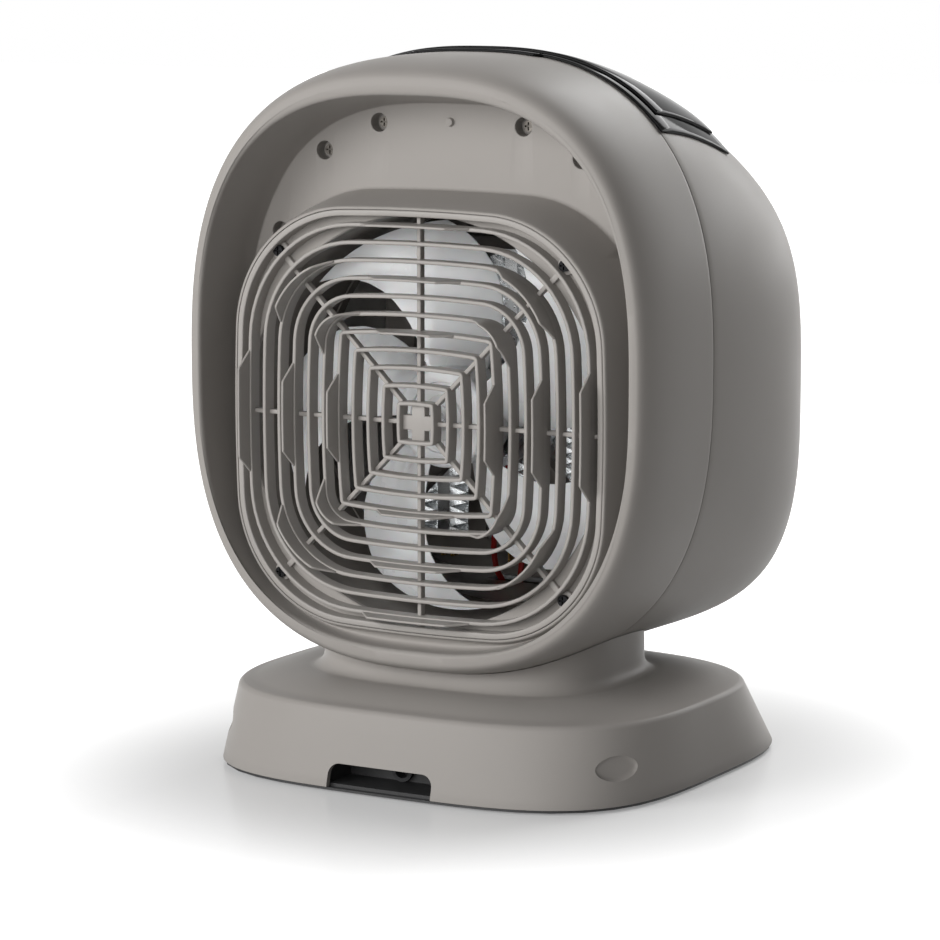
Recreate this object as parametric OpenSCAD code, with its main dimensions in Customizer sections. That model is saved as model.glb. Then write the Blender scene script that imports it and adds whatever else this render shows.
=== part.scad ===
// Oscillating fan heater: a soft-square body with a deep grip recess and a ribbed
// intake at the back, a touch panel on top, and a base that turns on a hidden foot disc.
// Millimetres. X runs across, +Y points to the back (air intake), +Z is up.
// The origin is on the floor, under the middle of the base.

/* [Body shells] */
// Half of the body's width at its widest
body_half_w = 110.5; // [109:0.25:112]
// Height of the body's top above the floor
body_top = 297.5; // [295:0.5:300]
// Height of the body's lowest point above the floor
body_low = 45; // [44.5:0.25:46]
// Place of the parting line between the two shells
seam_y = 20; // [17:0.5:21]
// Rearmost edge of the rim round the recess
rim_y = 77; // [76:0.5:79]
// Foremost face of the body
front_y = -96; // [-98:0.5:-95]
// Thickness of the shells
shell_t = 2.5; // [2:0.1:2.8]
// How far the sides turn in towards the front face
front_round_side = 29.3; // [27:0.5:32]
// How far the top slopes down towards the front face
front_round_top = 67.9; // [65:0.5:70]
// How far the underside rises towards the front face
front_round_low = 17.8; // [15:0.5:20]

/* [Rear recess and drum] */
// Depth of the recess floor, measured along Y from the base centre
recess_floor_y = 41.8; // [41:0.2:44]
// Half width of the recess mouth
recess_half_w = 100.2; // [99.5:0.1:100.6]
// Height of the recess mouth's top edge
recess_top = 281.5; // [280:0.5:282.5]
// Height of the recess mouth's bottom edge
recess_low = 56.8; // [56:0.2:58]
// Half width of the drum where it leaves the recess floor
drum_base_half = 92.5; // [91.5:0.25:93]
// Width of the thin lip round the grille
drum_lip = 1.0; // [0.8:0.1:1.4]
// Radius of the round air opening under the grille
intake_r = 84.2; // [83.4:0.1:84.3]

/* [Rear grille] */
// Height of the grille's centre above the floor
grille_z = 149.2; // [148:0.2:150]
// Rear edge of the ribs
grille_y = 70.4; // [69.5:0.1:71.5]
// Distance from one rib to the next
rib_pitch = 7.2; // [7.1:0.02:7.24]
// Least clear width between the last rib and the frame ring
frame_gap = 3; // [2.5:0.1:3.1]
// Thickness of a rib
rib_t = 1.6; // [1.2:0.1:2]
// Depth of a rib along the air flow
rib_depth = 6.4; // [5.6:0.2:7]
// Half size of the frame ring, outside
frame_half = 86.1; // [85.8:0.05:86.3]
// Depth of the spokes behind the ribs' rear edges
spoke_set_back = 3.2; // [2.4:0.2:4]
// Width of a spoke
spoke_w = 1.8; // [1.4:0.1:2.4]
// Height of the raised fins over the ribs
fin_rise = 8; // [5:0.5:9]
// Slope length at each end of a raised fin
fin_slope = 7; // [5:0.5:8]
// Place of the four corner screws, from the centre
corner_screw = 67; // [66.9:0.05:67.1]

/* [Fan] */
// Radius at the blade tips
fan_r = 80; // [76:0.5:81]
// Radius of the fan hub
hub_r = 21; // [19:0.5:23]
// Number of blades
blade_count = 5; // [3:1:6]
// Thickness of a blade
blade_t = 1.6; // [1.2:0.1:2]
// Radius of the motor shaft
shaft_r = 2; // [1.5:0.1:2.5]
// Radius of the fan motor
motor_r = 22; // [19:0.5:24]
// Length of the fan motor's can
motor_len = 34; // [28:1:36]

/* [Heater] */
// Width of the heater's middle window
middle_window_w = 44; // [40:0.5:46]
// Width of each side window of the heater
side_window_w = 27; // [24:0.5:28]
// Half height of the heater block
heater_half_h = 68; // [64:0.5:68.5]
// Depth of the heater block along the air flow
heater_depth = 18; // [14:0.5:20]
// Width of the two upright bars of the heater frame
mullion_w = 9; // [7:0.5:10]
// Half of one wave of the corrugated fins
fin_step = 2.2; // [1.8:0.1:3]
// Height of the middle of the heater and the outlet
outlet_z = 149.2; // [148:0.2:150]
// Half width and half height of the outlet
outlet_half = 74; // [72:0.5:75]
// Distance from one outlet bar to the next
louvre_pitch = 8.4; // [7.6:0.1:10]

/* [Base] */
// Half of the base's width at the floor
base_half_w = 103.5; // [102:0.5:105]
// Half of the base's depth at the floor
base_half_d = 100.5; // [99.5:0.5:102]
// How far each side of the skirt leans in up to its top edge
skirt_lean_side = 2.5; // [1.5:0.5:4]
// How far the rear of the skirt leans in
skirt_lean_rear = 7.5; // [6:0.5:9]
// How far the front of the skirt leans in
skirt_lean_front = 23.5; // [21:0.5:26]
// Height of the base's top edge
base_edge_z = 34; // [33.5:0.25:34.5]
// Wall of the base cover
base_t = 2.5; // [2:0.1:2.8]
// Half of the neck's width
neck_half_w = 66; // [64:0.5:67]
// Half of the neck's depth
neck_half_d = 48.4; // [47.5:0.2:49]
// How far the neck's centre lies behind the foot's centre
neck_y = 14; // [13:0.5:14.5]
// Width of the cord notch in the rear skirt
notch_w = 49; // [44:1:50]
// Height of the cord notch's top above the floor
notch_top = 12; // [11:0.5:12.5]
// Radius of the notch's upper corners
notch_corner = 5; // [3:0.5:6]

/* [Turning foot] */
// How far the foot disc's edge lies inside the front edge of the base
disc_inset = 28.5; // [27.5:0.5:32]
// Thickness of the foot disc
disc_t = 3.4; // [3:0.1:3.6]
// Height of the rubber feet that shows under the disc
foot_h = 1; // [0.8:0.1:1.2]
// Radius of a rubber foot
foot_r = 7; // [6:0.5:8]
// Radius of the turning hub
hub_bearing_r = 15; // [14:0.25:16]
// Gear tooth size (pitch diameter divided by tooth count)
gear_module = 1.5; // [1.45:0.01:1.52]
// Teeth on the whole fixed gear
gear_teeth = 42; // [42:1:42]
// Teeth on the drive pinion
pinion_teeth = 14; // [14:1:14]
// Swing to each side, in degrees
swing = 35; // [20:1:40]

/* [Hidden] */

// Points round one section of a moulding, a multiple of 8
RING = 56;
$fn = 48;

// Gaps: seat_gap between pieces laid on each other, fit_gap round a piece let into another,
// turn_gap round a turning shaft
seat_gap = 0.05;
fit_gap = 0.15;
turn_gap = 0.06;

// Squareness of the soft squares: 2 is an ellipse, larger is squarer
body_n = 2.58;
face_n_up = 4.9;
face_n_low = 4.05;
recess_n = 2.75;
duct_n = 4.4;
base_n = 3.6;
base_top_n = 3.0;
neck_n = 3.0;

// Soft-square helpers
function polar_r(t, n) = pow(pow(abs(cos(t)), n) + pow(abs(sin(t)), n), -1 / n);
function oval(a, b, n, turn_step = 360 / RING) =
    [for (t = [0:turn_step:359.99]) [a * polar_r(t, n) * cos(t), b * polar_r(t, n) * sin(t)]];
function upright(y, half, top, low, n) =
    [for (p = oval(half, (top - low) / 2, n)) [p[0], y, (top + low) / 2 + p[1]]];
function level(z, a, b, cy, n) = [for (p = oval(a, b, n)) [p[0], cy + p[1], z]];
function ease(t, p) = 1 - pow(1 - pow(min(1, max(0, t)), p), 1 / p);
function mix(a, b, t) = a + (b - a) * t;

// A square with bowed sides and round corners: h is its half size and rc the corner
// radius. soft_d and soft_c place the centres of its side and corner arcs.
function soft_d(h) = h * 9;
function soft_c(h, rc) = (-soft_d(h) + sqrt(2 * pow(h + soft_d(h) - rc, 2) - pow(soft_d(h), 2))) / 2;
function soft_turn(h, rc) = atan2(soft_c(h, rc), soft_c(h, rc) + soft_d(h));
function soft_square(h, rc, side_steps, corner_steps) = let (d = soft_d(h), c = soft_c(h, rc),
    turn = soft_turn(h, rc), quarter = concat(
        [for (i = [0:side_steps]) let (t = mix(-turn, turn, i / side_steps))
            [-d + (h + d) * cos(t), (h + d) * sin(t)]],
        [for (i = [1:corner_steps - 1]) let (t = mix(turn, 90 - turn, i / corner_steps))
            [c + rc * cos(t), c + rc * sin(t)]]))
    [for (q = [0:3], p = quarter) [p[0] * cos(90 * q) - p[1] * sin(90 * q),
        p[0] * sin(90 * q) + p[1] * cos(90 * q)]];

// The frame ring's outline as seen from its centre, so that the drum can follow it
frame_corner = 53;
function fold(t) = abs(((t + 45) % 90) - 45);
function soft_polar(h, rc, t) = let (d = soft_d(h), c = soft_c(h, rc), f = fold(t),
    turn = soft_turn(h, rc), meet = atan2((h + d) * sin(turn), -d + (h + d) * cos(turn)))
    f < meet ? -d * cos(f) + sqrt(pow(h + d, 2) - pow(d * sin(f), 2))
        : c * (cos(f) + sin(f)) + sqrt(pow(rc, 2) - pow(c * (cos(f) - sin(f)), 2));
function frame_outline(h) = [for (i = [0:RING - 1]) let (t = 360 * i / RING,
    r = soft_polar(frame_half, frame_corner, t) * h / frame_half) [r * cos(t), r * sin(t)]];
function drum_ring(y, h) = [for (p = frame_outline(h)) [p[0], y, grille_z + p[1]]];
function round_ring(y, r, z) = [for (i = [0:RING - 1]) let (t = 360 * i / RING)
    [r * cos(t), y, z + r * sin(t)]];

// The outer skin of the body: half width, top and lowest point at each depth y. Going
// forward, the sides turn in from swell_y on and the underside rises from low_swell_y on.
swell_y = -14.4;
low_swell_y = -33.3;
rear_in_side = 8;
rear_in_top = 11.5;
rear_in_low = 10;
seam_in = 1;
function rear_t(y) = (y - seam_y) / (rim_y - seam_y);
function swell_t(y, from) = (from - y) / (from - front_y);
function fall_t(y) = (seam_y - y) / (seam_y - front_y);
function skin_half(y) = body_half_w - (y >= seam_y ? seam_in + rear_in_side * ease(rear_t(y), 3.3)
    : y > swell_y ? seam_in * pow((y - swell_y) / (seam_y - swell_y), 2)
    : front_round_side * ease(swell_t(y, swell_y), 2.4));
function skin_top(y) = body_top - (y >= seam_y ? rear_in_top * ease(rear_t(y), 2.8)
    : front_round_top * ease(fall_t(y), 1.6));
function skin_low(y) = body_low + (y >= seam_y ? rear_in_low * ease(rear_t(y), 3.3)
    : front_round_low * ease(swell_t(y, low_swell_y), 3.4));
function skin_mid(y) = (skin_top(y) + skin_low(y)) / 2;
function skin_high(y) = (skin_top(y) - skin_low(y)) / 2;
// Squareness of the upper and the lower half, which both grow towards the front face
function skin_n(y, upper) = y >= seam_y ? body_n
    : upper ? mix(body_n, face_n_up, ease(fall_t(y), 2.8)) : mix(body_n, face_n_low, ease(fall_t(y), 3.1));
// The point in direction t from the middle, lifted off the skin
function on_skin(t, y, lift) = let (r = polar_r(t, skin_n(y, sin(t) >= 0)))
    [(skin_half(y) + lift) * r * cos(t), y, skin_mid(y) + (skin_high(y) + lift) * r * sin(t)];
function skin(y, inset = 0) = [for (t = [0:360 / RING:359.99]) on_skin(t, y, -inset)];
function skin_rise(x, y, upper) = let (n = skin_n(y, upper))
    skin_high(y) * pow(1 - pow(min(1, abs(x) / skin_half(y)), n), 1 / n);
function skin_over(x, y) = skin_mid(y) + skin_rise(x, y, true);
function skin_under(x, y) = skin_mid(y) - skin_rise(x, y, false);
// How many times further from the middle the skin lies than the point (x, z)
function skin_reach(x, z, y) = let (n = skin_n(y, z > skin_mid(y)))
    pow(pow(abs(x) / skin_half(y), n) + pow(abs(z - skin_mid(y)) / skin_high(y), n), -1 / n);

function back(list) = [for (i = [len(list) - 1:-1:0]) list[i]];

// A thin-walled moulding: sections joined in order, the last one back to the first
module wrap(rings) {
    n = len(rings[0]);
    m = len(rings);
    faces = [for (j = [0:m - 1], i = [0:n - 1]) let (k = (j + 1) % m, h = (i + 1) % n)
        each [[j * n + i, j * n + h, k * n + h], [j * n + i, k * n + h, k * n + i]]];
    polyhedron([for (r = rings) each r], faces, convexity = 8);
}

// A solid between sections, each of which runs out and back along one strip: the ends
// are closed from one side of the strip to the other
module loft(rings) {
    n = len(rings[0]);
    m = len(rings);
    sides = [for (j = [0:m - 2], i = [0:n - 1]) let (k = j + 1, h = (i + 1) % n)
        each [[j * n + i, j * n + h, k * n + h], [j * n + i, k * n + h, k * n + i]]];
    e = (m - 1) * n;
    ends = [for (i = [0:n / 2 - 2]) let (p = n - 1 - i, q = n - 2 - i)
        each [[p, q, i + 1], [p, i + 1, i], [e + i, e + i + 1, e + q], [e + i, e + q, e + p]]];
    polyhedron([for (r = rings) each r], concat(sides, ends), convexity = 6);
}

// A plate in the X-Z plane: its outline is drawn looking from the front, and it
// fills the depth from y0 back to y1
module plate(y0, y1) {
    translate([0, y1, 0]) rotate([90, 0, 0]) linear_extrude(y1 - y0) children();
}

// A round bar or hole along Y
module rod_y(x, z, y0, y1, r) {
    translate([x, y1, z]) rotate([90, 0, 0]) cylinder(h = y1 - y0, r = r);
}

// A round bar or hole along Z
module rod_z(x, y, z0, z1, r) {
    translate([x, y, z0]) cylinder(h = z1 - z0, r = r);
}

// A screw with a pan head: head_y or head_z is the underside of the head
screw_r = 1.5;
screw_head_r = 2.9;
small_head_r = 2.25;
screw_head_h = 2;
screw_hole_r = screw_r + 0.1;
grille_screw_length = 16;
shell_screw_length = 27;
board_screw_length = 7;
bracket_screw_length = 14;
neck_screw_length = 20;
module screw_y(x, z, head_y, length, head_r = screw_head_r) {
    rod_y(x, z, head_y - length, head_y, screw_r);
    difference() {
        rod_y(x, z, head_y, head_y + screw_head_h, head_r);
        for (a = [0, 90]) translate([x, head_y + screw_head_h, z]) rotate([0, a, 0])
            cube([0.7, 2, 3.4], center = true);
    }
}
module screw_z(x, y, head_z, length, up = 1) {
    translate([x, y, head_z]) mirror([0, 0, up > 0 ? 0 : 1]) {
        cylinder(h = length, r = screw_r);
        difference() {
            translate([0, 0, -screw_head_h]) cylinder(h = screw_head_h, r = screw_head_r);
            for (a = [0, 90]) translate([0, 0, -screw_head_h]) rotate([0, 0, a])
                cube([0.7, 3.4, 2], center = true);
        }
    }
}

// Rear shell: outer skin, rolled rim, recess, drum and grille seat in one moulding
recess_draft = 0.6;
seat_y = grille_y - rib_depth;
seat_t = 2.5;
floor_back_y = recess_floor_y - shell_t;
drum_bore = frame_half + fit_gap;
drum_lip_half = drum_bore + drum_lip;
well_r = 3.9;
well_sleeve_r = 5.4;
well_bottom_y = recess_floor_y - 6.2;
well_end_y = seam_y + 4;
// Shell screws as [x, z], and the four corners of the grille
shell_screw_at = [[34, 268.6], [60.5, 256.4], [82.6, 222]];
corner_reach = corner_screw * sqrt(2);
corner_at = [for (x = [-1, 1], z = [-1, 1]) [x * corner_screw, grille_z + z * corner_screw]];
boss_end_y = 54;
rim_pin_z = 269.6;
module rear_shell() {
    mouth_top = recess_top - recess_draft;
    inner_y = rim_y - 7;
    color("#a9a6a2") difference() {
        union() {
            wrap(concat([skin(seam_y, 0.5)],
                [for (t = [0.013, 0.3, 0.55, 0.72, 0.84, 0.92, 0.97, 1]) skin(mix(seam_y, rim_y, t))],
                [upright(rim_y - 0.6, recess_half_w + 0.8, recess_top + 2.4, recess_low - 1.2, recess_n),
                 upright(rim_y - 3, recess_half_w, recess_top, recess_low, recess_n),
                 upright(recess_floor_y + 2.4, recess_half_w - recess_draft, mouth_top,
                     recess_low + recess_draft, recess_n),
                 upright(recess_floor_y, recess_half_w - 2, mouth_top - 2, recess_low + 2, recess_n),
                 drum_ring(recess_floor_y, drum_base_half + 1.1),
                 drum_ring(recess_floor_y + 1.3, drum_base_half),
                 drum_ring(recess_floor_y + 14, drum_base_half - 1.8),
                 drum_ring(grille_y - 4, drum_lip_half + 0.9),
                 drum_ring(grille_y - 1, drum_lip_half + 0.2),
                 drum_ring(grille_y - 0.3, drum_lip_half - 0.3),
                 drum_ring(grille_y - 0.3, drum_bore),
                 drum_ring(seat_y, drum_bore),
                 round_ring(seat_y, intake_r, grille_z),
                 round_ring(seat_y - seat_t, intake_r, grille_z),
                 drum_ring(seat_y - seat_t, drum_base_half - 4.6),
                 drum_ring(floor_back_y, drum_base_half - 2),
                 upright(floor_back_y, recess_half_w + 1.6, mouth_top + 1.6, recess_low - 1.6, recess_n),
                 upright(inner_y, recess_half_w + 1.9, recess_top + 2.2, recess_low - 1.9, recess_n),
                 skin(inner_y, shell_t - 0.6), skin(mix(seam_y, rim_y, 0.55), shell_t),
                 skin(seam_y, shell_t)]));
            for (s = [-1, 1], p = shell_screw_at)
                rod_y(s * p[0], p[1], well_end_y, floor_back_y + 0.5, well_sleeve_r);
            for (p = corner_at) rod_y(p[0], p[1], boss_end_y, seat_y - seat_t + 0.5, 4.5);
            rod_y(0, rim_pin_z, recess_floor_y - 1, recess_floor_y + 1.6, 1.7);
        }
        for (s = [-1, 1], p = shell_screw_at) {
            rod_y(s * p[0], p[1], well_bottom_y, recess_floor_y + 1, well_r);
            rod_y(s * p[0], p[1], well_end_y - 1, well_bottom_y + 1, screw_hole_r);
        }
        for (p = corner_at) rod_y(p[0], p[1], boss_end_y - 1, seat_y + 1, screw_hole_r);
    }
}

// Front shell: the sloping dome with the outlet, screw posts and the neck socket
post_hole_r = 21;
post_y = -3;
post_r = post_hole_r - 0.4;
neck_screw_at = [for (x = [-1, 1], y = [-22, 6]) [x * 36, y]];
neck_post_top = 62;
// How much thinner the shell gets near its front face
face_thin = 0.7;
function outlet_ring(y, grow) = upright(y, outlet_half + grow, outlet_z + outlet_half + grow,
    outlet_z - outlet_half - grow, duct_n);
outlet_depth = 8;
module front_shell() {
    lip_y = front_y + outlet_depth;
    rib_y0 = -2;
    color("#a9a6a2") difference() {
        union() {
            wrap(back(concat([skin(seam_y, 0.5), skin(seam_y - 0.7)],
                [for (y = [4, swell_y, panel_front_y]) skin(y)],
                [for (t = [0.5, 0.67, 0.8]) skin(mix(swell_y, front_y, t))],
                [for (d = [9, 5, 2.4, 0.8, 0.05]) skin(front_y + d)],
                [outlet_ring(front_y, 1.2), outlet_ring(front_y + 1.2, fit_gap),
                 outlet_ring(lip_y, fit_gap), outlet_ring(lip_y, 2.6),
                 outlet_ring(front_y + shell_t + 1.6, 4)],
                [for (t = [0.935, 0.82, 0.68]) skin(mix(swell_y, front_y, t), shell_t - face_thin)],
                [for (y = [mix(swell_y, front_y, 0.43), swell_y, seam_y]) skin(y, shell_t)])));
            for (s = [-1, 1], p = shell_screw_at) {
                reach = skin_reach(p[0], p[1], rib_y0);
                mid = skin_mid(rib_y0);
                angle = atan2(p[1] - mid, p[0]);
                length = norm([p[0], p[1] - mid]) * (reach - 1) - 1;
                rod_y(s * p[0], p[1], rib_y0, well_end_y, 4.6);
                translate([s * p[0], rib_y0, p[1]]) rotate([0, s > 0 ? -angle : angle - 180, 0])
                    translate([0, 0, -1.2]) cube([length, seam_y - 2 - rib_y0, 2.4]);
            }
            for (p = neck_screw_at)
                rod_z(p[0], p[1], skin_under(p[0], p[1]) + 1.2, neck_post_top, 4.6);
            for (p = panel_board_at)
                rod_z(p[0], p[1], board_z + board_t + seat_gap, skin_over(p[0], p[1]) - 1.75, 3);
        }
        for (s = [-1, 1], p = shell_screw_at)
            rod_y(s * p[0], p[1], rib_y0 + 4, well_end_y + 1, screw_hole_r);
        for (p = neck_screw_at)
            rod_z(p[0], p[1], body_low - 5, neck_post_top - 2, screw_hole_r);
        for (p = panel_board_at) rod_z(p[0], p[1], board_z, board_z + 7.4, screw_hole_r);
        rod_z(0, post_y, body_low - 15, body_low + 13, post_hole_r);
    }
}

// Intake grille: nested soft squares on spokes set back from their edges, with raised
// fins over three rings on the axes and over two rings on the diagonals
rib_start = 0.228;
rib_count = floor((frame_half - rib_t - frame_gap) / rib_pitch - rib_start);
function rib_half(k) = (k + rib_start) * rib_pitch;
function rib_corner(k) = k <= 5 ? 0.8 + 0.35 * k : 14 + 7.4 * (k - 6);
function rib_line(k, inset) = k <= 5
    ? soft_square(rib_half(k) - inset, max(0.4, rib_corner(k) - inset), 5, 3)
    : soft_square(rib_half(k) - inset, rib_corner(k) - inset, 4, 8);
// Raised fins as [rib, half length]
axis_fins = [[rib_count - 6, 18.5], [rib_count - 3, 21.5], [rib_count, 25.5]];
diagonal_fins = [[rib_count - 5, 13], [rib_count - 2, 19]];
cross_boss = [[7.2, 3], [3, 7.2]];
module rib(k) {
    difference() {
        polygon(rib_line(k, 0));
        polygon(rib_line(k, rib_t));
    }
}
module spokes() {
    for (a = [0, 90]) rotate(a) square([2 * intake_r + 1, spoke_w], center = true);
    for (a = [45, 135], s = [0, 180]) rotate(a + s)
        translate([rib_half(1) * 1.2, -spoke_w / 2]) square([intake_r - rib_half(1), spoke_w]);
}
// Screw arms: a short bridge from the frame to the last rib, with an eye in it
module screw_arms() {
    start = rib_half(rib_count - 1) * 1.14;
    for (a = [45:90:315]) rotate(a) {
        translate([start, -1.2]) square([corner_reach + 3.2 - start, 2.4]);
        translate([corner_reach, 0]) circle(r = 3.9);
    }
}
module fin_block(half_length) {
    rotate([90, 0, 90]) linear_extrude(2 * intake_r, center = true)
        polygon([[-half_length, -0.5], [half_length, -0.5], [half_length, 0],
            [half_length - fin_slope, fin_rise], [fin_slope - half_length, fin_rise],
            [-half_length, 0]]);
}
// A raised fin: the stretch of rib k that lies under a long trapezoid, drawn in a frame
// whose Z points to the back
module fin(k, half_length, angle, inset_t) {
    intersection() {
        linear_extrude(fin_rise) difference() {
            polygon(rib_line(k, 0));
            polygon(rib_line(k, inset_t));
        }
        rotate([0, 0, angle]) fin_block(half_length);
        rotate([0, 0, angle]) translate([rib_half(k) * 0.6, -half_length - 1, -1])
            cube([rib_half(k), 2 * half_length + 2, fin_rise + 2]);
    }
}
module rear_grille() {
    rib_face = rib_depth - spoke_set_back;
    color("#b0ada9") translate([0, seat_y, grille_z]) rotate([-90, 0, 0]) mirror([0, 1, 0]) {
        difference() {
            union() {
                linear_extrude(rib_depth) for (k = [1:rib_count]) rib(k);
                linear_extrude(rib_depth) difference() {
                    polygon(frame_outline(frame_half));
                    polygon(frame_outline(frame_half - rib_t));
                }
                linear_extrude(rib_face) {
                    spokes();
                    for (b = cross_boss) square([2 * b[0], 2 * b[1]], center = true);
                }
                linear_extrude(rib_face - 1.2) intersection() {
                    screw_arms();
                    polygon(frame_outline(frame_half - 0.5));
                }
                translate([0, 0, rib_depth]) {
                    for (f = axis_fins, a = [0:90:270]) fin(f[0], f[1], a, rib_t * 0.65);
                    for (f = diagonal_fins, a = [45:90:315]) fin(f[0], f[1], a, rib_t * 0.65);
                }
            }
            for (a = [45:90:315]) rotate(a) translate([corner_reach, 0, -1])
                cylinder(h = rib_depth + 2, r = screw_hole_r);
        }
    }
}
module grille_screws() {
    color("#4a4c50") for (p = corner_at)
        screw_y(p[0], p[1], seat_y + rib_depth - spoke_set_back - 1.2 + seat_gap,
            grille_screw_length, small_head_r);
}
module shell_screws() {
    color("#a3a5a8") for (s = [-1, 1], p = shell_screw_at)
        screw_y(s * p[0], p[1], well_bottom_y + seat_gap, shell_screw_length, small_head_r);
}

// Outlet grille: a soft-square frame with level bars on two uprights
outlet_frame_w = 3;
module outlet_shape(grow) {
    polygon([for (p = oval(outlet_half + grow, outlet_half + grow, duct_n)) p]);
}
module outlet_grille() {
    color("#8f8c88") translate([0, 0, outlet_z]) {
        plate(front_y + 0.6, front_y + outlet_depth) {
            difference() {
                outlet_shape(0);
                outlet_shape(-outlet_frame_w);
            }
            intersection() {
                outlet_shape(-1);
                union() {
                    for (z = [louvre_pitch / 2:louvre_pitch:outlet_half], s = [-1, 1])
                        translate([0, s * z]) square([2 * outlet_half, 1.8], center = true);
                    for (x = [-25, 25]) translate([x, 0]) square([2, 2 * outlet_half], center = true);
                }
            }
        }
        plate(front_y + outlet_depth + seat_gap, front_y + outlet_depth + 2) difference() {
            outlet_shape(2.2);
            outlet_shape(-outlet_frame_w);
        }
        plate(front_y + outlet_depth - 1, front_y + outlet_depth + 1) difference() {
            outlet_shape(-0.2);
            outlet_shape(-outlet_frame_w);
        }
    }
}

// Control panel: a gloss strip that follows the top of the body, and the raised lens on it
panel_t = 1;
lens_t = 0.9;
panel_front_y = -38;
panel_tongue = 3.2;
panel_gap = 0.28;
// Directions, in degrees, from the body's middle to the panel's side edge and to the
// sides of its tongue, and those of the body's own points between the edge and the top
panel_edge_angle = 44.3;
lens_edge_angle = 48.2;
tongue_angle = 75;
function crest(from) = concat([from],
    [for (i = [0:RING / 4]) let (t = i * 360 / RING) if (t > from + 0.1) t]);
function both_sides(list) = concat(list, [for (i = [len(list) - 2:-1:0]) 180 - list[i]]);
panel_columns = both_sides(concat(
    [for (t = crest(panel_edge_angle)) if (t < tongue_angle - 0.4) t],
    [tongue_angle - 0.3, tongue_angle + 0.3],
    [for (t = crest(panel_edge_angle)) if (t > tongue_angle + 0.4) t]));
function panel_steps(t) = concat([panel_front_y, swell_y, 4],
    abs(t - 90) < 90 - tongue_angle ? [seam_y + 0.7, seam_y + panel_tongue] : [seam_y - 0.7, seam_y]);
lens_steps = [panel_front_y + 5, swell_y, 4, seam_y - 5];
// One section of a strip laid on the skin, from front to rear and back underneath
function strip(t, steps, low, high) = concat([for (y = steps) on_skin(t, y, high)],
    [for (y = back(steps)) on_skin(t, y, low)]);
module control_panel() {
    color("#0c0c0d") loft(back([for (t = panel_columns)
        strip(t, panel_steps(t), panel_gap, panel_gap + panel_t)]));
}
module panel_lens() {
    low = 2 * panel_gap + panel_t;
    color("#050506") loft(back([for (t = both_sides(crest(lens_edge_angle)))
        strip(t, lens_steps, low, low + lens_t)]));
}
board_half_w = 50;
board_depth = 32;
board_y0 = panel_front_y - 3;
board_t = 1.6;
board_z = skin_over(board_half_w, board_y0) - shell_t - 5;
panel_board_at = [for (s = [-1, 1], y = [5, board_depth - 5]) [s * (board_half_w - 6), board_y0 + y]];
module control_board() {
    color("#1e5b3a") difference() {
        translate([-board_half_w, board_y0, board_z]) cube([2 * board_half_w, board_depth, board_t]);
        for (p = panel_board_at) rod_z(p[0], p[1], board_z - 1, board_z + 3, screw_hole_r);
    }
}
module board_screws() {
    color("#4a4c50") for (p = panel_board_at) screw_z(p[0], p[1], board_z - seat_gap, board_screw_length);
}

// Fan: five broad swept blades on a cup hub
fan_y0 = 27;
fan_y1 = 49;
blade_steps = 6;
// Blade edges as seen from the back: leading edge angle, trailing edge angle and the
// depth of both, at radius share s from hub (0) to tip (1)
function lead_angle(s) = 71 - 8 * s - 22 * pow(s, 3);
function trail_angle(s) = 118 - 6 * s - 27 * pow(s, 3);
function blade_point(s, c, side) = let (r = mix(hub_r - 1.5, fan_r, s), w = sin(180 * c),
    a = mix(lead_angle(s), trail_angle(s), c), bow = 2.4 * w,
    y = mix(fan_y1 - 1 - 1.5 * s, fan_y0 + 1.5 + 4 * s, c) + bow)
    [r * cos(a), y + side * blade_t * (0.35 + 0.15 * w), r * sin(a)];
function blade_section(s) = concat([for (i = [0:blade_steps]) blade_point(s, i / blade_steps, 1)],
    [for (i = [blade_steps:-1:0]) blade_point(s, i / blade_steps, -1)]);
module fan_impeller() {
    color("#c9ced3") translate([0, 0, grille_z]) difference() {
        union() {
            for (k = [0:blade_count - 1]) rotate([0, -k * 360 / blade_count, 0])
                loft(back([for (s = [0, 0.2, 0.4, 0.6, 0.8, 0.92, 1]) blade_section(s)]));
            translate([0, fan_y1, 0]) rotate([90, 0, 0]) difference() {
                cylinder(h = fan_y1 - fan_y0, r = hub_r);
                translate([0, 0, 3]) cylinder(h = fan_y1 - fan_y0, r = hub_r - 2);
            }
            rod_y(0, 0, fan_y0 + 2, fan_y1 + 1.5, 5);
        }
        rod_y(0, 0, fan_y0 - 1, fan_y1 + 0.3, shaft_r + 0.02);
    }
}
motor_y1 = 16;
motor_boss_y = 20;
module motor_shaft() {
    color("#b9bcc0") rod_y(0, grille_z, motor_y1 - 14, fan_y1, shaft_r);
}
module fan_motor() {
    color("#6d7075") difference() {
        union() {
            rod_y(0, grille_z, motor_y1 - motor_len, motor_y1, motor_r);
            rod_y(0, grille_z, bracket_y1, bracket_y1 + 1.6, motor_r + 3.4);
            rod_y(0, grille_z, motor_y1 - 1, motor_boss_y, 6);
            rod_y(0, grille_z, motor_y1 - motor_len - 3, motor_y1 - motor_len + 1, 6);
        }
        rod_y(0, grille_z, motor_y1 - 15, motor_boss_y + 1, shaft_r + turn_gap);
    }
}

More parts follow.
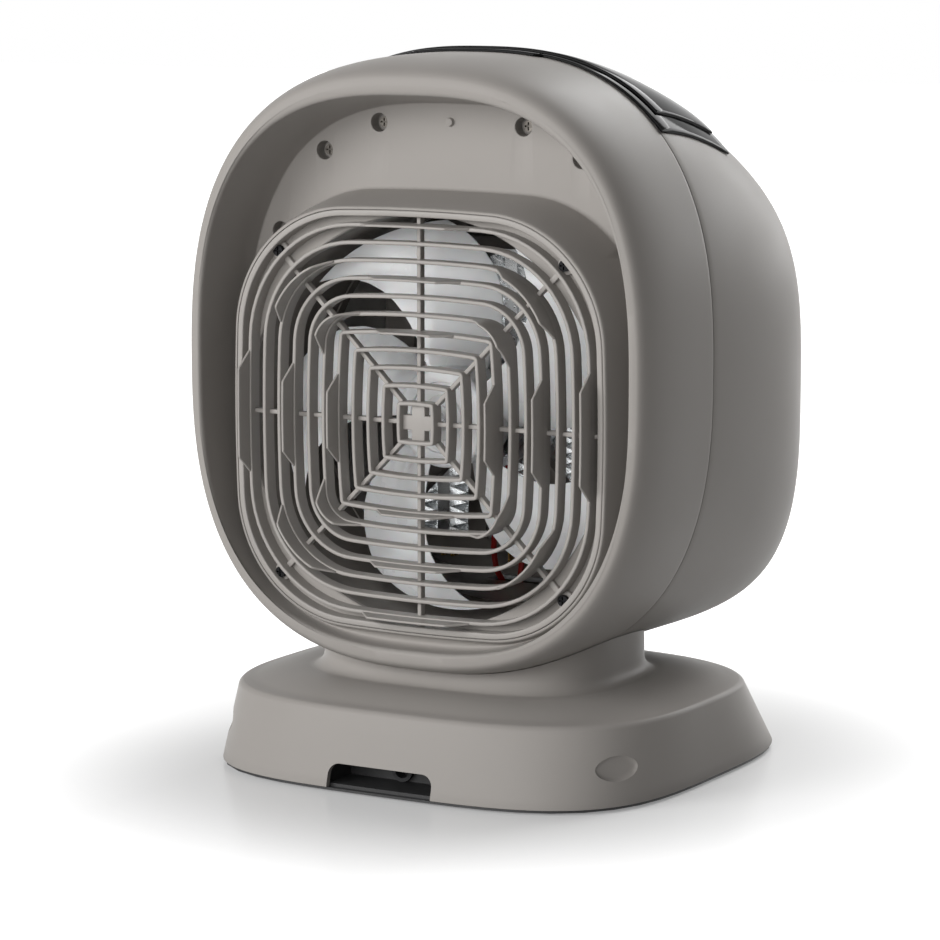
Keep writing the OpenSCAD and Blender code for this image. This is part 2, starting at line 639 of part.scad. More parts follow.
// Motor bracket: a ring on four arms across the duct, with ears on the housing's posts
bracket_y0 = 2;
bracket_y1 = 8;
module motor_bracket() {
    color("#33353a") translate([0, 0, grille_z]) difference() {
        plate(bracket_y0, bracket_y1) union() {
            difference() {
                circle(r = intake_r + 4.5, $fn = 96);
                circle(r = intake_r - 0.5, $fn = 96);
            }
            for (a = [45:90:315]) rotate(a) {
                translate([corner_reach, 0]) circle(r = 5);
                translate([intake_r + 2, -4]) square([corner_reach - intake_r - 3, 8]);
            }
            difference() {
                for (a = [45, 135]) rotate(a) square([2 * intake_r + 2, 7], center = true);
                circle(r = motor_r + 1);
            }
            difference() {
                circle(r = motor_r + 3.4);
                circle(r = motor_r + fit_gap);
            }
        }
        for (a = [45:90:315]) rotate([0, a, 0]) rod_y(corner_reach, 0, bracket_y0 - 1,
            bracket_y1 + 1, screw_hole_r);
    }
}
module bracket_screws() {
    color("#4a4c50") for (p = corner_at) translate([p[0], bracket_y0 - seat_gap, p[1]])
        rotate([-90, 0, 0]) screw_z(0, 0, 0, bracket_screw_length);
}
// Fan housing: the round duct of the fan with four long screw posts
module fan_housing() {
    color("#2b2d31") translate([0, 0, grille_z]) difference() {
        union() {
            plate(bracket_y1 + seat_gap, seat_y - seat_t - seat_gap) difference() {
                circle(r = intake_r + 2.2, $fn = 96);
                circle(r = intake_r, $fn = 96);
            }
            plate(bracket_y1 + seat_gap, boss_end_y - seat_gap) for (a = [45:90:315]) rotate(a) {
                translate([corner_reach, 0]) circle(r = 4.6);
                translate([intake_r + 1, -1.5]) square([7, 3]);
            }
        }
        for (a = [45:90:315]) rotate([0, a, 0]) {
            rod_y(corner_reach, 0, 47, boss_end_y + 1, screw_hole_r);
            rod_y(corner_reach, 0, bracket_y1 - 1, 26, screw_hole_r);
        }
    }
}

// Air duct: round at the fan, soft square round the heater and at the outlet
duct_t = 1.8;
duct_y0 = front_y + outlet_depth + 2;
duct_y1 = bracket_y0 - seat_gap;
duct_big = 80;
duct_flare = duct_big + 5;
// Width of the window in the duct's floor for the leads
lead_window = 42;
heater_y1 = -26;
heater_y0 = heater_y1 - heater_depth;
module air_duct() {
    color("#8b8e92") difference() {
        wrap(back([
        round_ring(duct_y1, intake_r + 3.4, grille_z),
        upright(duct_y1 - 8, duct_flare, grille_z + duct_flare, grille_z - duct_flare, 2.2),
        upright(heater_y1 + 4, duct_big + duct_t, outlet_z + duct_big + duct_t,
            outlet_z - duct_big - duct_t, duct_n),
        upright(heater_y0 - 8, duct_big + duct_t, outlet_z + duct_big + duct_t,
            outlet_z - duct_big - duct_t, duct_n),
        upright(duct_y0 + seat_gap, outlet_half + 2, outlet_z + outlet_half + 2,
            outlet_z - outlet_half - 2, duct_n),
        upright(duct_y0 + seat_gap, outlet_half + 0.2, outlet_z + outlet_half + 0.2,
            outlet_z - outlet_half - 0.2, duct_n),
        upright(heater_y0 - 8, duct_big, outlet_z + duct_big, outlet_z - duct_big, duct_n),
        upright(heater_y1 + 4, duct_big, outlet_z + duct_big, outlet_z - duct_big, duct_n),
        upright(duct_y1 - 8, duct_flare - duct_t, grille_z + duct_flare - duct_t,
            grille_z - duct_flare + duct_t, 2.2),
        round_ring(duct_y1, intake_r + 0.4, grille_z)]));
        translate([-lead_window / 2, heater_y0 + 8, outlet_z - duct_big - 6])
            cube([lead_window, 12, 12]);
    }
}

// Heater block: a black frame with three windows. Each side window has one heating bar
// between two strips of corrugated fins, and the middle one has two such sets.
rail_w = 5;
bar_w = 6;
plate_w = 0.8;
heater_half_w = middle_window_w / 2 + mullion_w + side_window_w + rail_w;
window_h = 2 * heater_half_h - 2 * rail_w;
side_window_x = middle_window_w / 2 + mullion_w + side_window_w / 2;
// Each set of bar and fins as [x, width]
heater_sets = [[-side_window_x, side_window_w], [-middle_window_w / 4, middle_window_w / 2],
    [middle_window_w / 4, middle_window_w / 2], [side_window_x, side_window_w]];
module heater_frame() {
    color("#1d1e20") translate([0, 0, outlet_z]) {
        plate(heater_y0, heater_y1) difference() {
            square([2 * heater_half_w, 2 * heater_half_h], center = true);
            square([middle_window_w, window_h], center = true);
            for (s = [-1, 1]) translate([s * side_window_x, 0])
                square([side_window_w, window_h], center = true);
        }
        plate(heater_y0 + 4, heater_y0 + 6.5) difference() {
            polygon(oval(duct_big - fit_gap, duct_big - fit_gap, duct_n));
            square([2 * heater_half_w - 1, 2 * heater_half_h - 1], center = true);
        }
    }
}
module heater_bars() {
    size = [bar_w, heater_depth - 4, window_h - 2 * seat_gap];
    side = [plate_w, size[1], size[2]];
    color("#c4c6c8") for (c = heater_sets) translate([c[0], heater_y0 + 2, outlet_z - size[2] / 2]) {
        translate([-bar_w / 2, 0, 0]) cube(size);
        for (s = [-1, 1])
            translate([s * (c[1] / 2 - seat_gap - plate_w / 2) - plate_w / 2, 0, 0]) cube(side);
    }
}
// A corrugated strip: a thin sheet that zigzags up between two plates. fin_sheet is the
// sheet's width as cut by a level plane.
fin_sheet = 1.4;
module corrugation(width) {
    n = floor((window_h - 2) / fin_step);
    fold = [for (i = [0:n]) [i % 2 == 0 ? 0 : width - fin_sheet, (i - n / 2) * fin_step]];
    polygon(concat(fold, [for (p = back(fold)) p + [fin_sheet, 0]]));
}
module heater_fins() {
    color("#d5d8da") translate([0, 0, outlet_z]) for (c = heater_sets) {
        low = bar_w / 2 + seat_gap;
        width = c[1] / 2 - 2 * seat_gap - plate_w - low;
        for (x = [c[0] + low, c[0] - low - width])
            plate(heater_y0 + 2.5, heater_y1 - 2.5) translate([x, 0]) corrugation(width);
    }
}
// Terminals: two flat tabs under each set of bars, tab_x from its middle and tab_h long
terminal_z = outlet_z - heater_half_h;
tab_x = 2.4;
tab_h = 5;
tab_t = 0.8;
tab_depth = 6.3;
module heater_terminals() {
    color("#d8b45a") for (c = heater_sets, s = [-1, 1])
        translate([c[0] + s * tab_x - tab_t / 2, heater_y0 + 7, terminal_z - tab_h])
            cube([tab_t, tab_depth, tab_h - seat_gap]);
}
// Round thermostat on the heater's lower rail, in the air from the fan
cutout_plate = [18, 3, 4.2];
cutout_r = 7.5;
module thermal_cutout() {
    color("#d8d2c4") translate([0, heater_y1 + seat_gap, terminal_z + 0.4]) {
        translate([-cutout_plate[0] / 2, 0, 0]) cube(cutout_plate);
        translate([0, 0, cutout_r + 2.5]) rotate([-90, 0, 0]) cylinder(h = 4, r = cutout_r);
    }
}

// Leads: soft tubes that run from the power board up the neck to the heater and motor
lead_r = 1.3;
lead_sides = 8;
lead_end = [middle_window_w / 4 + tab_x, heater_y0 + 10.6, terminal_z - tab_h - 0.3];
motor_end = [4, motor_y1 - motor_len - 1.4, grille_z - motor_r + 5.8];
lead_routes = [
    [[-8, -10, 24], [-8, -9, 40], [-9, -10, 54], [-10, -20, lead_end[2] - 16.7],
     [-13, -31, lead_end[2] - 8.7], [-lead_end[0], lead_end[1], lead_end[2]]],
    [[-2, -12, 24], [-2, -11, 40], [-2, -12, 54], [2, -22, lead_end[2] - 16.7],
     [8, -31, lead_end[2] - 8.7], [lead_end[0] - 2 * tab_x, lead_end[1], lead_end[2]]],
    [[5, -9, 24], [5, -8, 40], [5, -12, 55], [8, -21, lead_end[2] - 14.7], [15, -29, lead_end[2] - 8.7],
     [16, -24, lead_end[2] - 0.7], [15, -21, lead_end[2] + 14], motor_end + [5, -1.1, -17], motor_end]];
function bend(a, b, c, d, t) = 0.5 * (2 * b + (c - a) * t + (2 * a - 5 * b + 4 * c - d) * t * t
    + (3 * b - a - 3 * c + d) * t * t * t);
function route(p, steps) = concat([for (i = [0:len(p) - 2], s = [0:steps - 1])
    bend(p[max(0, i - 1)], p[i], p[i + 1], p[min(len(p) - 1, i + 2)], s / steps)], [p[len(p) - 1]]);
function unit(v) = v / norm(v);
function heading(q, i) = unit(q[min(len(q) - 1, i + 1)] - q[max(0, i - 1)]);
module tube(path, r) {
    q = route(path, 3);
    loft([for (i = [0:len(q) - 1]) let (h = heading(q, i), u = unit(cross(h, [1, 0.2, 0])),
        v = cross(h, u)) [for (k = [0:lead_sides - 1]) let (t = -360 * k / lead_sides)
            q[i] + r * (cos(t) * u + sin(t) * v)]]);
}
module heater_leads() {
    colours = ["#a8231c", "#d8d4cc", "#a8231c"];
    for (i = [0:2]) color(colours[i]) tube(lead_routes[i], lead_r);
}

// Base cover: leaning skirt, crowned top and the neck that meets the body's underside
skirt_z = 2;
crown = 5.6;
neck_floor_z = 36;
neck_floor_t = 2.6;
// How far the crowned top's foot reaches out round the neck, and its edge in from the skirt
neck_foot = 5;
crown_in = 4;
base_top_half_w = base_half_w - skirt_lean_side;
base_top_half_d = base_half_d - (skirt_lean_front + skirt_lean_rear) / 2;
base_top_shift = (skirt_lean_front - skirt_lean_rear) / 2;
function base_a(z) = mix(base_half_w, base_top_half_w, (z - skirt_z) / (base_edge_z - skirt_z));
function base_b(z) = mix(base_half_d, base_top_half_d, (z - skirt_z) / (base_edge_z - skirt_z));
function base_cy(z) = mix(0, base_top_shift, (z - skirt_z) / (base_edge_z - skirt_z));
function base_sq(z) = mix(base_n, base_top_n, (z - skirt_z) / (base_edge_z - skirt_z));
function skirt(z, inset) = level(z, base_a(z) - inset, base_b(z) - inset, base_cy(z), base_sq(z));
// Sections of the crowned top, from the edge (0) to the foot of the neck (1)
function crown_ring(s, drop) = level(base_edge_z + 0.4 + crown * sin(90 * s) * 0.98 - drop,
    mix(base_top_half_w - crown_in, neck_half_w + neck_foot, s),
    mix(base_top_half_d - crown_in, neck_half_d + neck_foot, s),
    mix(base_top_shift, neck_y, s), base_top_n);
function neck_ring(z, grow) = level(z, neck_half_w + grow, neck_half_d + grow, neck_y, neck_n);
function neck_top(grow) = [for (p = neck_ring(0, grow)) [p[0], p[1], skin_under(p[0], p[1]) - 0.3]];
dimple_z = 17;
dimple_angle = 37.4;
dimple_turn_angle = 30;
dimple_depth = 1.6;
dimple_size = [10.5, 5];
dimple_at = let (r = polar_r(dimple_angle, base_sq(dimple_z)))
    [base_a(dimple_z) * r * cos(dimple_angle),
    base_cy(dimple_z) + base_b(dimple_z) * r * sin(dimple_angle), dimple_z];
module base_cover() {
    fillet_z = base_edge_z + crown + 0.4;
    inner_in = base_t + 0.3;
    color("#a9a6a2") difference() {
        union() {
            wrap(back(concat([skirt(skirt_z, 0), skirt(14, 0), skirt(base_edge_z - 4, 0),
                skirt(base_edge_z - 1.6, 0.5), skirt(base_edge_z - 0.4, 1.6)],
                [crown_ring(0, 0), crown_ring(0.35, 0), crown_ring(0.7, 0), crown_ring(1, 0)],
                [neck_ring(fillet_z + 0.8, 2.6), neck_ring(fillet_z + 2.4, 0.9),
                 neck_ring(fillet_z + 4.4, 0.1), neck_top(0), neck_top(-base_t),
                 neck_ring(fillet_z + 0.2, -base_t), neck_ring(fillet_z - base_t - 1, -base_t + 0.2)],
                [crown_ring(0.7, inner_in), crown_ring(0.2, inner_in),
                 skirt(base_edge_z - 5, base_t), skirt(14, base_t), skirt(skirt_z, base_t)])));
            translate([0, neck_y, neck_floor_z]) linear_extrude(neck_floor_t)
                polygon(oval(neck_half_w - 1, neck_half_d - 1, neck_n));
            rod_z(0, post_y, neck_floor_z, body_low - 0.5, post_r + 5);
            rod_z(0, post_y, neck_floor_z, body_low + 11, post_r);
            for (p = neck_screw_at) rod_z(p[0], p[1], neck_floor_z, body_low + 1, 5);
        }
        rod_z(0, post_y, neck_floor_z - 1, body_low + 12, post_r - 4);
        for (p = neck_screw_at) rod_z(p[0], p[1], neck_floor_z - 1, 48, screw_hole_r);
        // Cord notch with round upper corners
        translate([0, base_half_d - 12, 0]) rotate([-90, 0, 0]) linear_extrude(20) {
            translate([notch_corner - notch_w / 2, -notch_top])
                square([notch_w - 2 * notch_corner, notch_top + 1]);
            translate([-notch_w / 2, notch_corner - notch_top]) square([notch_w, notch_top]);
            for (s = [-1, 1]) translate([s * (notch_w / 2 - notch_corner), notch_corner - notch_top])
                circle(r = notch_corner);
        }
        // Oval dimple at each rear corner
        for (s = [-1, 1]) translate([s * dimple_at[0], dimple_at[1], dimple_at[2]])
            rotate([0, 0, s > 0 ? dimple_turn_angle : 180 - dimple_turn_angle]) rotate([0, -9, 0])
                translate([-dimple_depth, 0, 0]) rotate([90, 0, 90])
                    linear_extrude(8) polygon(oval(dimple_size[0], dimple_size[1], 2, 10));
    }
}
module neck_screws() {
    color("#4a4c50") for (p = neck_screw_at)
        screw_z(p[0], p[1], neck_floor_z - seat_gap, neck_screw_length);
}

// Tray: the black underside, raised in the middle over the foot disc
tray_z = 0.9;
tray_edge_t = 1;
tray_top_z = 3.2;
floor_top_z = 7.6;
floor_under_z = 5.6;
disc_r = base_half_d - disc_inset;
disc_room = disc_r + 2;
bay_z = 13.2;
bay_depth = 16.5;
bay_wall = 1.6;
bay_back_y = base_half_d - 5 - bay_depth;
bay_half_w = notch_w / 2 + 1.2;
gland_z = 8.2;
gland_r = 4.4;
centre_distance = gear_module * (gear_teeth + pinion_teeth) / 2 + 0.2;
stepper_y = centre_distance - 8;
stepper_r = 14;
stepper_h = 18;
stepper_z = 16.2;
ear_x = 17.5;
ear_size = [42, 7, 1.2];
stepper_screw_length = 6;
tip_at = [0, 18.9 - base_half_d];
plunger_r = 2.2;
board_at = [-68, -36];
board_size = [32, 64];
board_edge = 4;
board_holes = [for (x = [board_edge, board_size[0] - board_edge],
    y = [board_edge, board_size[1] - board_edge]) [x, y]];
board_bosses = [for (p = board_holes) board_at + p];
board_low_z = 11;
// The tray's screws, in from the base's sides and ends, and the height of their heads' seats
tray_screw_in = [25.5, 38.5];
tray_screw_at = [for (x = [-1, 1], y = [-1, 1])
    [x * (base_half_w - tray_screw_in[0]), y * (base_half_d - tray_screw_in[1])]];
tray_screw_z = 4;
tray_screw_length = 12;
tray_screw_boss_r = 4.5;
module base_tray() {
    color("#141516") difference() {
        union() {
            translate([0, 0, tray_z]) linear_extrude(tray_edge_t)
                polygon(oval(base_half_w - 0.7, base_half_d - 0.7, base_n));
            translate([0, 0, tray_z]) linear_extrude(tray_top_z - tray_z)
                polygon(oval(base_half_w - base_t - 0.9, base_half_d - base_t - 0.9, base_n));
            rod_z(0, 0, tray_z, floor_top_z, disc_room + 2);
            for (x = [-bay_half_w - bay_wall, bay_half_w])
                translate([x, bay_back_y - bay_wall, tray_top_z - 1])
                    cube([bay_wall, bay_depth, bay_z + bay_wall - tray_top_z + 1]);
            translate([-bay_half_w, bay_back_y - bay_wall, tray_top_z - 1])
                cube([2 * bay_half_w, bay_wall, bay_z + bay_wall - tray_top_z + 1]);
            translate([-bay_half_w, bay_back_y - bay_wall, bay_z])
                cube([2 * bay_half_w, bay_depth, bay_wall]);
            for (s = [-1, 1]) rod_z(s * ear_x, stepper_y, floor_top_z - 1, stepper_z - 1 - seat_gap, 4);
            for (p = board_bosses) rod_z(p[0], p[1], tray_top_z - 1, board_low_z - seat_gap, 2.8);
            for (p = tray_screw_at) rod_z(p[0], p[1], tray_top_z - 1, tray_screw_z + 4, tray_screw_boss_r);
        }
        rod_z(0, 0, 0, floor_under_z, disc_room);
        rod_z(0, 0, 0, floor_top_z + 1, hub_bearing_r + turn_gap);
        rod_y(0, gland_z, bay_back_y - 3, bay_back_y + 1, gland_r + 0.05);
        rod_z(tip_at[0], tip_at[1], 0, tray_top_z + 1, plunger_r + 0.6);
        for (s = [-1, 1]) rod_z(s * ear_x, stepper_y, floor_top_z + 1, stepper_z, screw_hole_r);
        for (p = tray_screw_at) {
            rod_z(p[0], p[1], 0, tray_screw_z + 5, screw_hole_r);
            rod_z(p[0], p[1], 0, tray_screw_z, screw_head_r + 0.6);
        }
    }
}
module tray_screws() {
    color("#4a4c50") for (p = tray_screw_at) screw_z(p[0], p[1], tray_screw_z - seat_gap, tray_screw_length);
}
module cord_gland() {
    color("#101011") difference() {
        union() {
            rod_y(0, gland_z, bay_back_y - 2.6, bay_back_y + 2, gland_r);
            rod_y(0, gland_z, bay_back_y + seat_gap, bay_back_y + 2.4, gland_r + 0.5);
        }
        rod_y(0, gland_z, bay_back_y - 3, bay_back_y + 3, 3.4);
    }
}
module power_board() {
    color("#1f6b45") translate([board_at[0], board_at[1], board_low_z]) difference() {
        cube([board_size[0], board_size[1], board_t]);
        for (p = board_holes) translate([p[0], p[1], -1]) cylinder(h = board_t + 2, r = screw_r);
    }
}
// Two relays, a film capacitor and a round capacitor, with their places on the board
relay_size = [19, 15.5, 13];
relay_at = [[8, 9, 0], [8, 27, 0]];
film_size = [17, 8, 11];
film_at = [9, 45, 0];
can_size = [4, 12];
can_at = [16, 57.5, 0];
module board_parts() {
    translate([board_at[0], board_at[1], board_low_z + board_t + seat_gap]) {
        color("#20242a") for (p = relay_at) translate(p) cube(relay_size);
        color("#b6862e") translate(film_at) cube(film_size);
        color("#2f7fb5") translate(can_at) cylinder(h = can_size[1], r = can_size[0]);
    }
}

// Swivel drive: a small geared stepper whose pinion walks round the fixed gear
pinion_z0 = floor_top_z + 1;
gear_z0 = floor_top_z + 0.6;
gear_h = 5;
pinion_shaft_r = 2.5;
gear_screw_at = 9;
gear_screw_length = 11;
pressure_angle = 25;
module stepper_motor() {
    color("#9a9da1") difference() {
        union() {
            rod_z(0, stepper_y, stepper_z, stepper_z + stepper_h, stepper_r);
            translate([-ear_size[0] / 2, stepper_y - ear_size[1] / 2, stepper_z - 1]) cube(ear_size);
            rod_z(0, centre_distance, stepper_z - 1.8, stepper_z + 1, 4.5);
        }
        rod_z(0, centre_distance, stepper_z - 3, stepper_z + 7, pinion_shaft_r + turn_gap);
        for (s = [-1, 1]) rod_z(s * ear_x, stepper_y, stepper_z - 2, stepper_z + 2, screw_hole_r);
    }
}
module stepper_screws() {
    color("#4a4c50") for (s = [-1, 1])
        translate([s * ear_x, stepper_y, stepper_z + ear_size[2] - 1 + seat_gap]) mirror([0, 0, 1])
            screw_z(0, 0, 0, stepper_screw_length);
}
// Involute spur teeth: the flank is the path of a string's end as it unwinds from the
// base circle. The tooth is narrowed by the backlash so that the flanks stay apart.
backlash = 0.5;
function inv(a) = tan(a) * 180 / PI - a;
function tooth(teeth, steps = 5) = let (rp = gear_module * teeth / 2, rb = rp * cos(pressure_angle),
    tip = rp + 0.9 * gear_module, root = rp - 1.15 * gear_module, low = max(rb, root),
    half = 90 / teeth - backlash / 4 / rp * 180 / PI,
    flank = [for (i = [0:steps]) let (r = mix(low, tip, i / steps), a = acos(rb / r),
        t = half + inv(pressure_angle) - inv(a)) [r * cos(t), r * sin(t)]],
    foot = [(root - 0.4) * cos(atan2(flank[0][1], flank[0][0]) + 0.6),
        (root - 0.4) * sin(atan2(flank[0][1], flank[0][0]) + 0.6)])
    concat([[foot[0], -foot[1]]], [for (p = flank) [p[0], -p[1]]],
        [for (i = [steps:-1:0]) flank[i]], [foot]);
function root_r(teeth) = gear_module * (teeth / 2 - 1.15);
module drive_pinion() {
    color("#e6e2d6") translate([0, centre_distance, pinion_z0]) difference() {
        linear_extrude(gear_h) {
            circle(r = root_r(pinion_teeth), $fn = 64);
            for (k = [0:pinion_teeth - 1]) rotate(-90 + k * 360 / pinion_teeth)
                polygon(tooth(pinion_teeth));
        }
        translate([0, 0, -1]) cylinder(h = gear_h + 2, r = pinion_shaft_r + 0.02);
    }
}
module pinion_shaft() {
    color("#b9bcc0") rod_z(0, centre_distance, pinion_z0, stepper_z + 6, pinion_shaft_r);
}
// Teeth to each side of the middle, so that the pinion is in mesh over the whole swing
mesh_reach = 20;
sector_teeth = ceil((swing + mesh_reach) * gear_teeth / 360);
module fixed_gear() {
    pitch = 360 / gear_teeth;
    span = (sector_teeth + 0.5) * pitch;
    color("#e6e2d6") translate([0, 0, gear_z0]) difference() {
        linear_extrude(gear_h) {
            circle(r = hub_bearing_r + 6, $fn = 64);
            intersection() {
                circle(r = root_r(gear_teeth), $fn = 96);
                polygon([[0, 0], [60 * cos(90 - span), 60 * sin(90 - span)], [0, 80],
                    [60 * cos(90 + span), 60 * sin(90 + span)]]);
            }
            for (k = [-sector_teeth:sector_teeth - 1]) rotate(90 + (k + 0.5) * pitch)
                polygon(tooth(gear_teeth));
        }
        for (a = [0, 120, 240]) rotate(a) translate([gear_screw_at, 0, -1])
            cylinder(h = gear_h + 2, r = screw_hole_r);
    }
}
module gear_screws() {
    color("#4a4c50") for (a = [0, 120, 240]) rotate(a)
        translate([gear_screw_at, 0, gear_z0 + gear_h + seat_gap]) mirror([0, 0, 1])
            screw_z(0, 0, 0, gear_screw_length);
}

// Foot disc with its hub, glide ring and rubber feet
disc_z = foot_h;
disc_top_z = disc_z + disc_t;
feet_ring_r = disc_r - 12;
module foot_disc() {
    color("#1a1b1c") difference() {
        union() {
            rod_z(0, 0, disc_z, disc_top_z, disc_r);
            rod_z(0, 0, disc_z, gear_z0 - seat_gap, hub_bearing_r);
        }
        for (a = [18:72:306]) rotate(a) translate([feet_ring_r, 0, 0])
            cylinder(h = disc_z + 0.8, r = foot_r + 0.1);
        for (a = [0, 120, 240]) rotate(a) translate([gear_screw_at, 0, 0])
            cylinder(h = gear_z0 + 1, r = screw_hole_r);
    }
}
module glide_ring() {
    color("#efefec") translate([0, 0, disc_top_z + seat_gap]) difference() {
        cylinder(h = floor_under_z - 0.3 - disc_top_z - seat_gap, r = disc_r - 8);
        translate([0, 0, -1]) cylinder(h = 4, r = disc_r - 14);
    }
}
module rubber_feet() {
    color("#26272a") for (a = [18:72:306]) rotate(a) translate([feet_ring_r, 0, 0])
        cylinder(h = disc_z + 0.8 - seat_gap, r = foot_r);
}

// Tip-over switch: a sprung plunger that the floor holds up
switch_h = 13;
switch_size = [20, 9];
chamber_z = 6;
chamber_r = 3.5;
flange_r = 3.3;
spring_r = 3;
spring_wire = 0.7;
travel = 4;
module tip_switch() {
    color("#222428") difference() {
        translate([tip_at[0] - switch_size[0] / 2, tip_at[1] - switch_size[1] / 2, tray_top_z + seat_gap])
            cube([switch_size[0], switch_size[1], switch_h]);
        rod_z(tip_at[0], tip_at[1], 2, chamber_z + 1, plunger_r + turn_gap);
        rod_z(tip_at[0], tip_at[1], chamber_z, tray_top_z + switch_h - 1, chamber_r);
    }
}
module tip_plunger() {
    color("#d9d4c7") translate([tip_at[0], tip_at[1], 0]) {
        rotate_extrude() polygon(concat([[0, 0]], [for (a = [0:15:90])
            [plunger_r - 1.2 + 1.2 * sin(a), 1.2 - 1.2 * cos(a)]],
            [[plunger_r, chamber_z + travel], [flange_r, chamber_z + travel],
             [flange_r, chamber_z + travel + 1], [0, chamber_z + travel + 1]]));
    }
}
module plunger_spring() {
    z0 = chamber_z + travel + 1 + seat_gap;
    color("#b9bcc0") translate([tip_at[0], tip_at[1], z0]) difference() {
        cylinder(h = tray_top_z + switch_h - 1 - seat_gap - z0, r = spring_r);
        translate([0, 0, -1]) cylinder(h = switch_h, r = spring_r - spring_wire);
    }
}

rear_shell();
front_shell();
rear_grille();
grille_screws();
shell_screws();
outlet_grille();
control_panel();
panel_lens();
control_board();
board_screws();
fan_impeller();
motor_shaft();
fan_motor();
motor_bracket();
bracket_screws();
fan_housing();
air_duct();
heater_frame();
heater_bars();
heater_fins();
heater_terminals();
thermal_cutout();
heater_leads();
base_cover();
neck_screws();
base_tray();
tray_screws();
cord_gland();
power_board();
board_parts();
stepper_motor();
stepper_screws();
drive_pinion();
pinion_shaft();
tip_switch();
tip_plunger();
plunger_spring();
foot_disc();
glide_ring();
fixed_gear();
gear_screws();
rubber_feet();
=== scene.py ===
import math

import bmesh
import bpy
import numpy as np
from bpy.props import FloatProperty, FloatVectorProperty, PointerProperty
from mathutils import Matrix, Vector


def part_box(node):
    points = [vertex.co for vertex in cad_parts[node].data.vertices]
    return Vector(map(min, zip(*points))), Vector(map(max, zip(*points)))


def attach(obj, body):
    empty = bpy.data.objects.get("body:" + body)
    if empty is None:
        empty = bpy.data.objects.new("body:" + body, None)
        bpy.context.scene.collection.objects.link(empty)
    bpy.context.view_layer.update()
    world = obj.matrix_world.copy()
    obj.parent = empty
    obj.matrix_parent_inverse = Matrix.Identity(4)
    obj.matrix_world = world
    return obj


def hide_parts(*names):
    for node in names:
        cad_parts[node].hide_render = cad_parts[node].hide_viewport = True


bl_info = {
    "name": "Fan heater",
    "version": (1, 0, 0),
    "blender": (4, 5, 0),
    "location": "View3D > Sidebar > Fan heater",
    "description": "Builds a fan heater with its finishes, lights and camera",
    "category": "Object",
}

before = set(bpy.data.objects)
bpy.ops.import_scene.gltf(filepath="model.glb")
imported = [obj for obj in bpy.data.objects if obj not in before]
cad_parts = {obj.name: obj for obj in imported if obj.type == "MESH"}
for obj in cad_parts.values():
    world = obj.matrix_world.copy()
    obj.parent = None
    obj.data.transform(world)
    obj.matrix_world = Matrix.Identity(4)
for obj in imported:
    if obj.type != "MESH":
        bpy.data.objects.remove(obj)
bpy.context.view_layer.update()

# Metres in one millimetre: shapes are worked out in millimetres and stored in metres
MM = 0.001
# Points round one section of a shell
ROUND = 224


def linear(hex_colour):
    """The linear values of a colour written as sRGB hex."""
    parts = [int(hex_colour[i:i + 2], 16) / 255 for i in (1, 3, 5)]
    return tuple(c / 12.92 if c <= 0.04045 else ((c + 0.055) / 1.055) ** 2.4 for c in parts)


def colour_prop(name, hex_colour, description):
    """A colour that a user may change."""
    return FloatVectorProperty(name=name, description=description, subtype="COLOR", size=3,
                               min=0.0, max=1.0, default=linear(hex_colour))


def length_prop(name, millimetres, description):
    """A length that a user may change, kept in metres."""
    return FloatProperty(name=name, description=description, subtype="DISTANCE", unit="LENGTH",
                         default=millimetres * MM)


def angle_prop(name, degrees, description):
    """An angle that a user may change."""
    return FloatProperty(name=name, description=description, subtype="ANGLE", unit="ROTATION",
                         default=math.radians(degrees))


def power_prop(name, watts, description):
    """A light's power, in watts."""
    return FloatProperty(name=name, description=description, default=watts, unit="POWER")


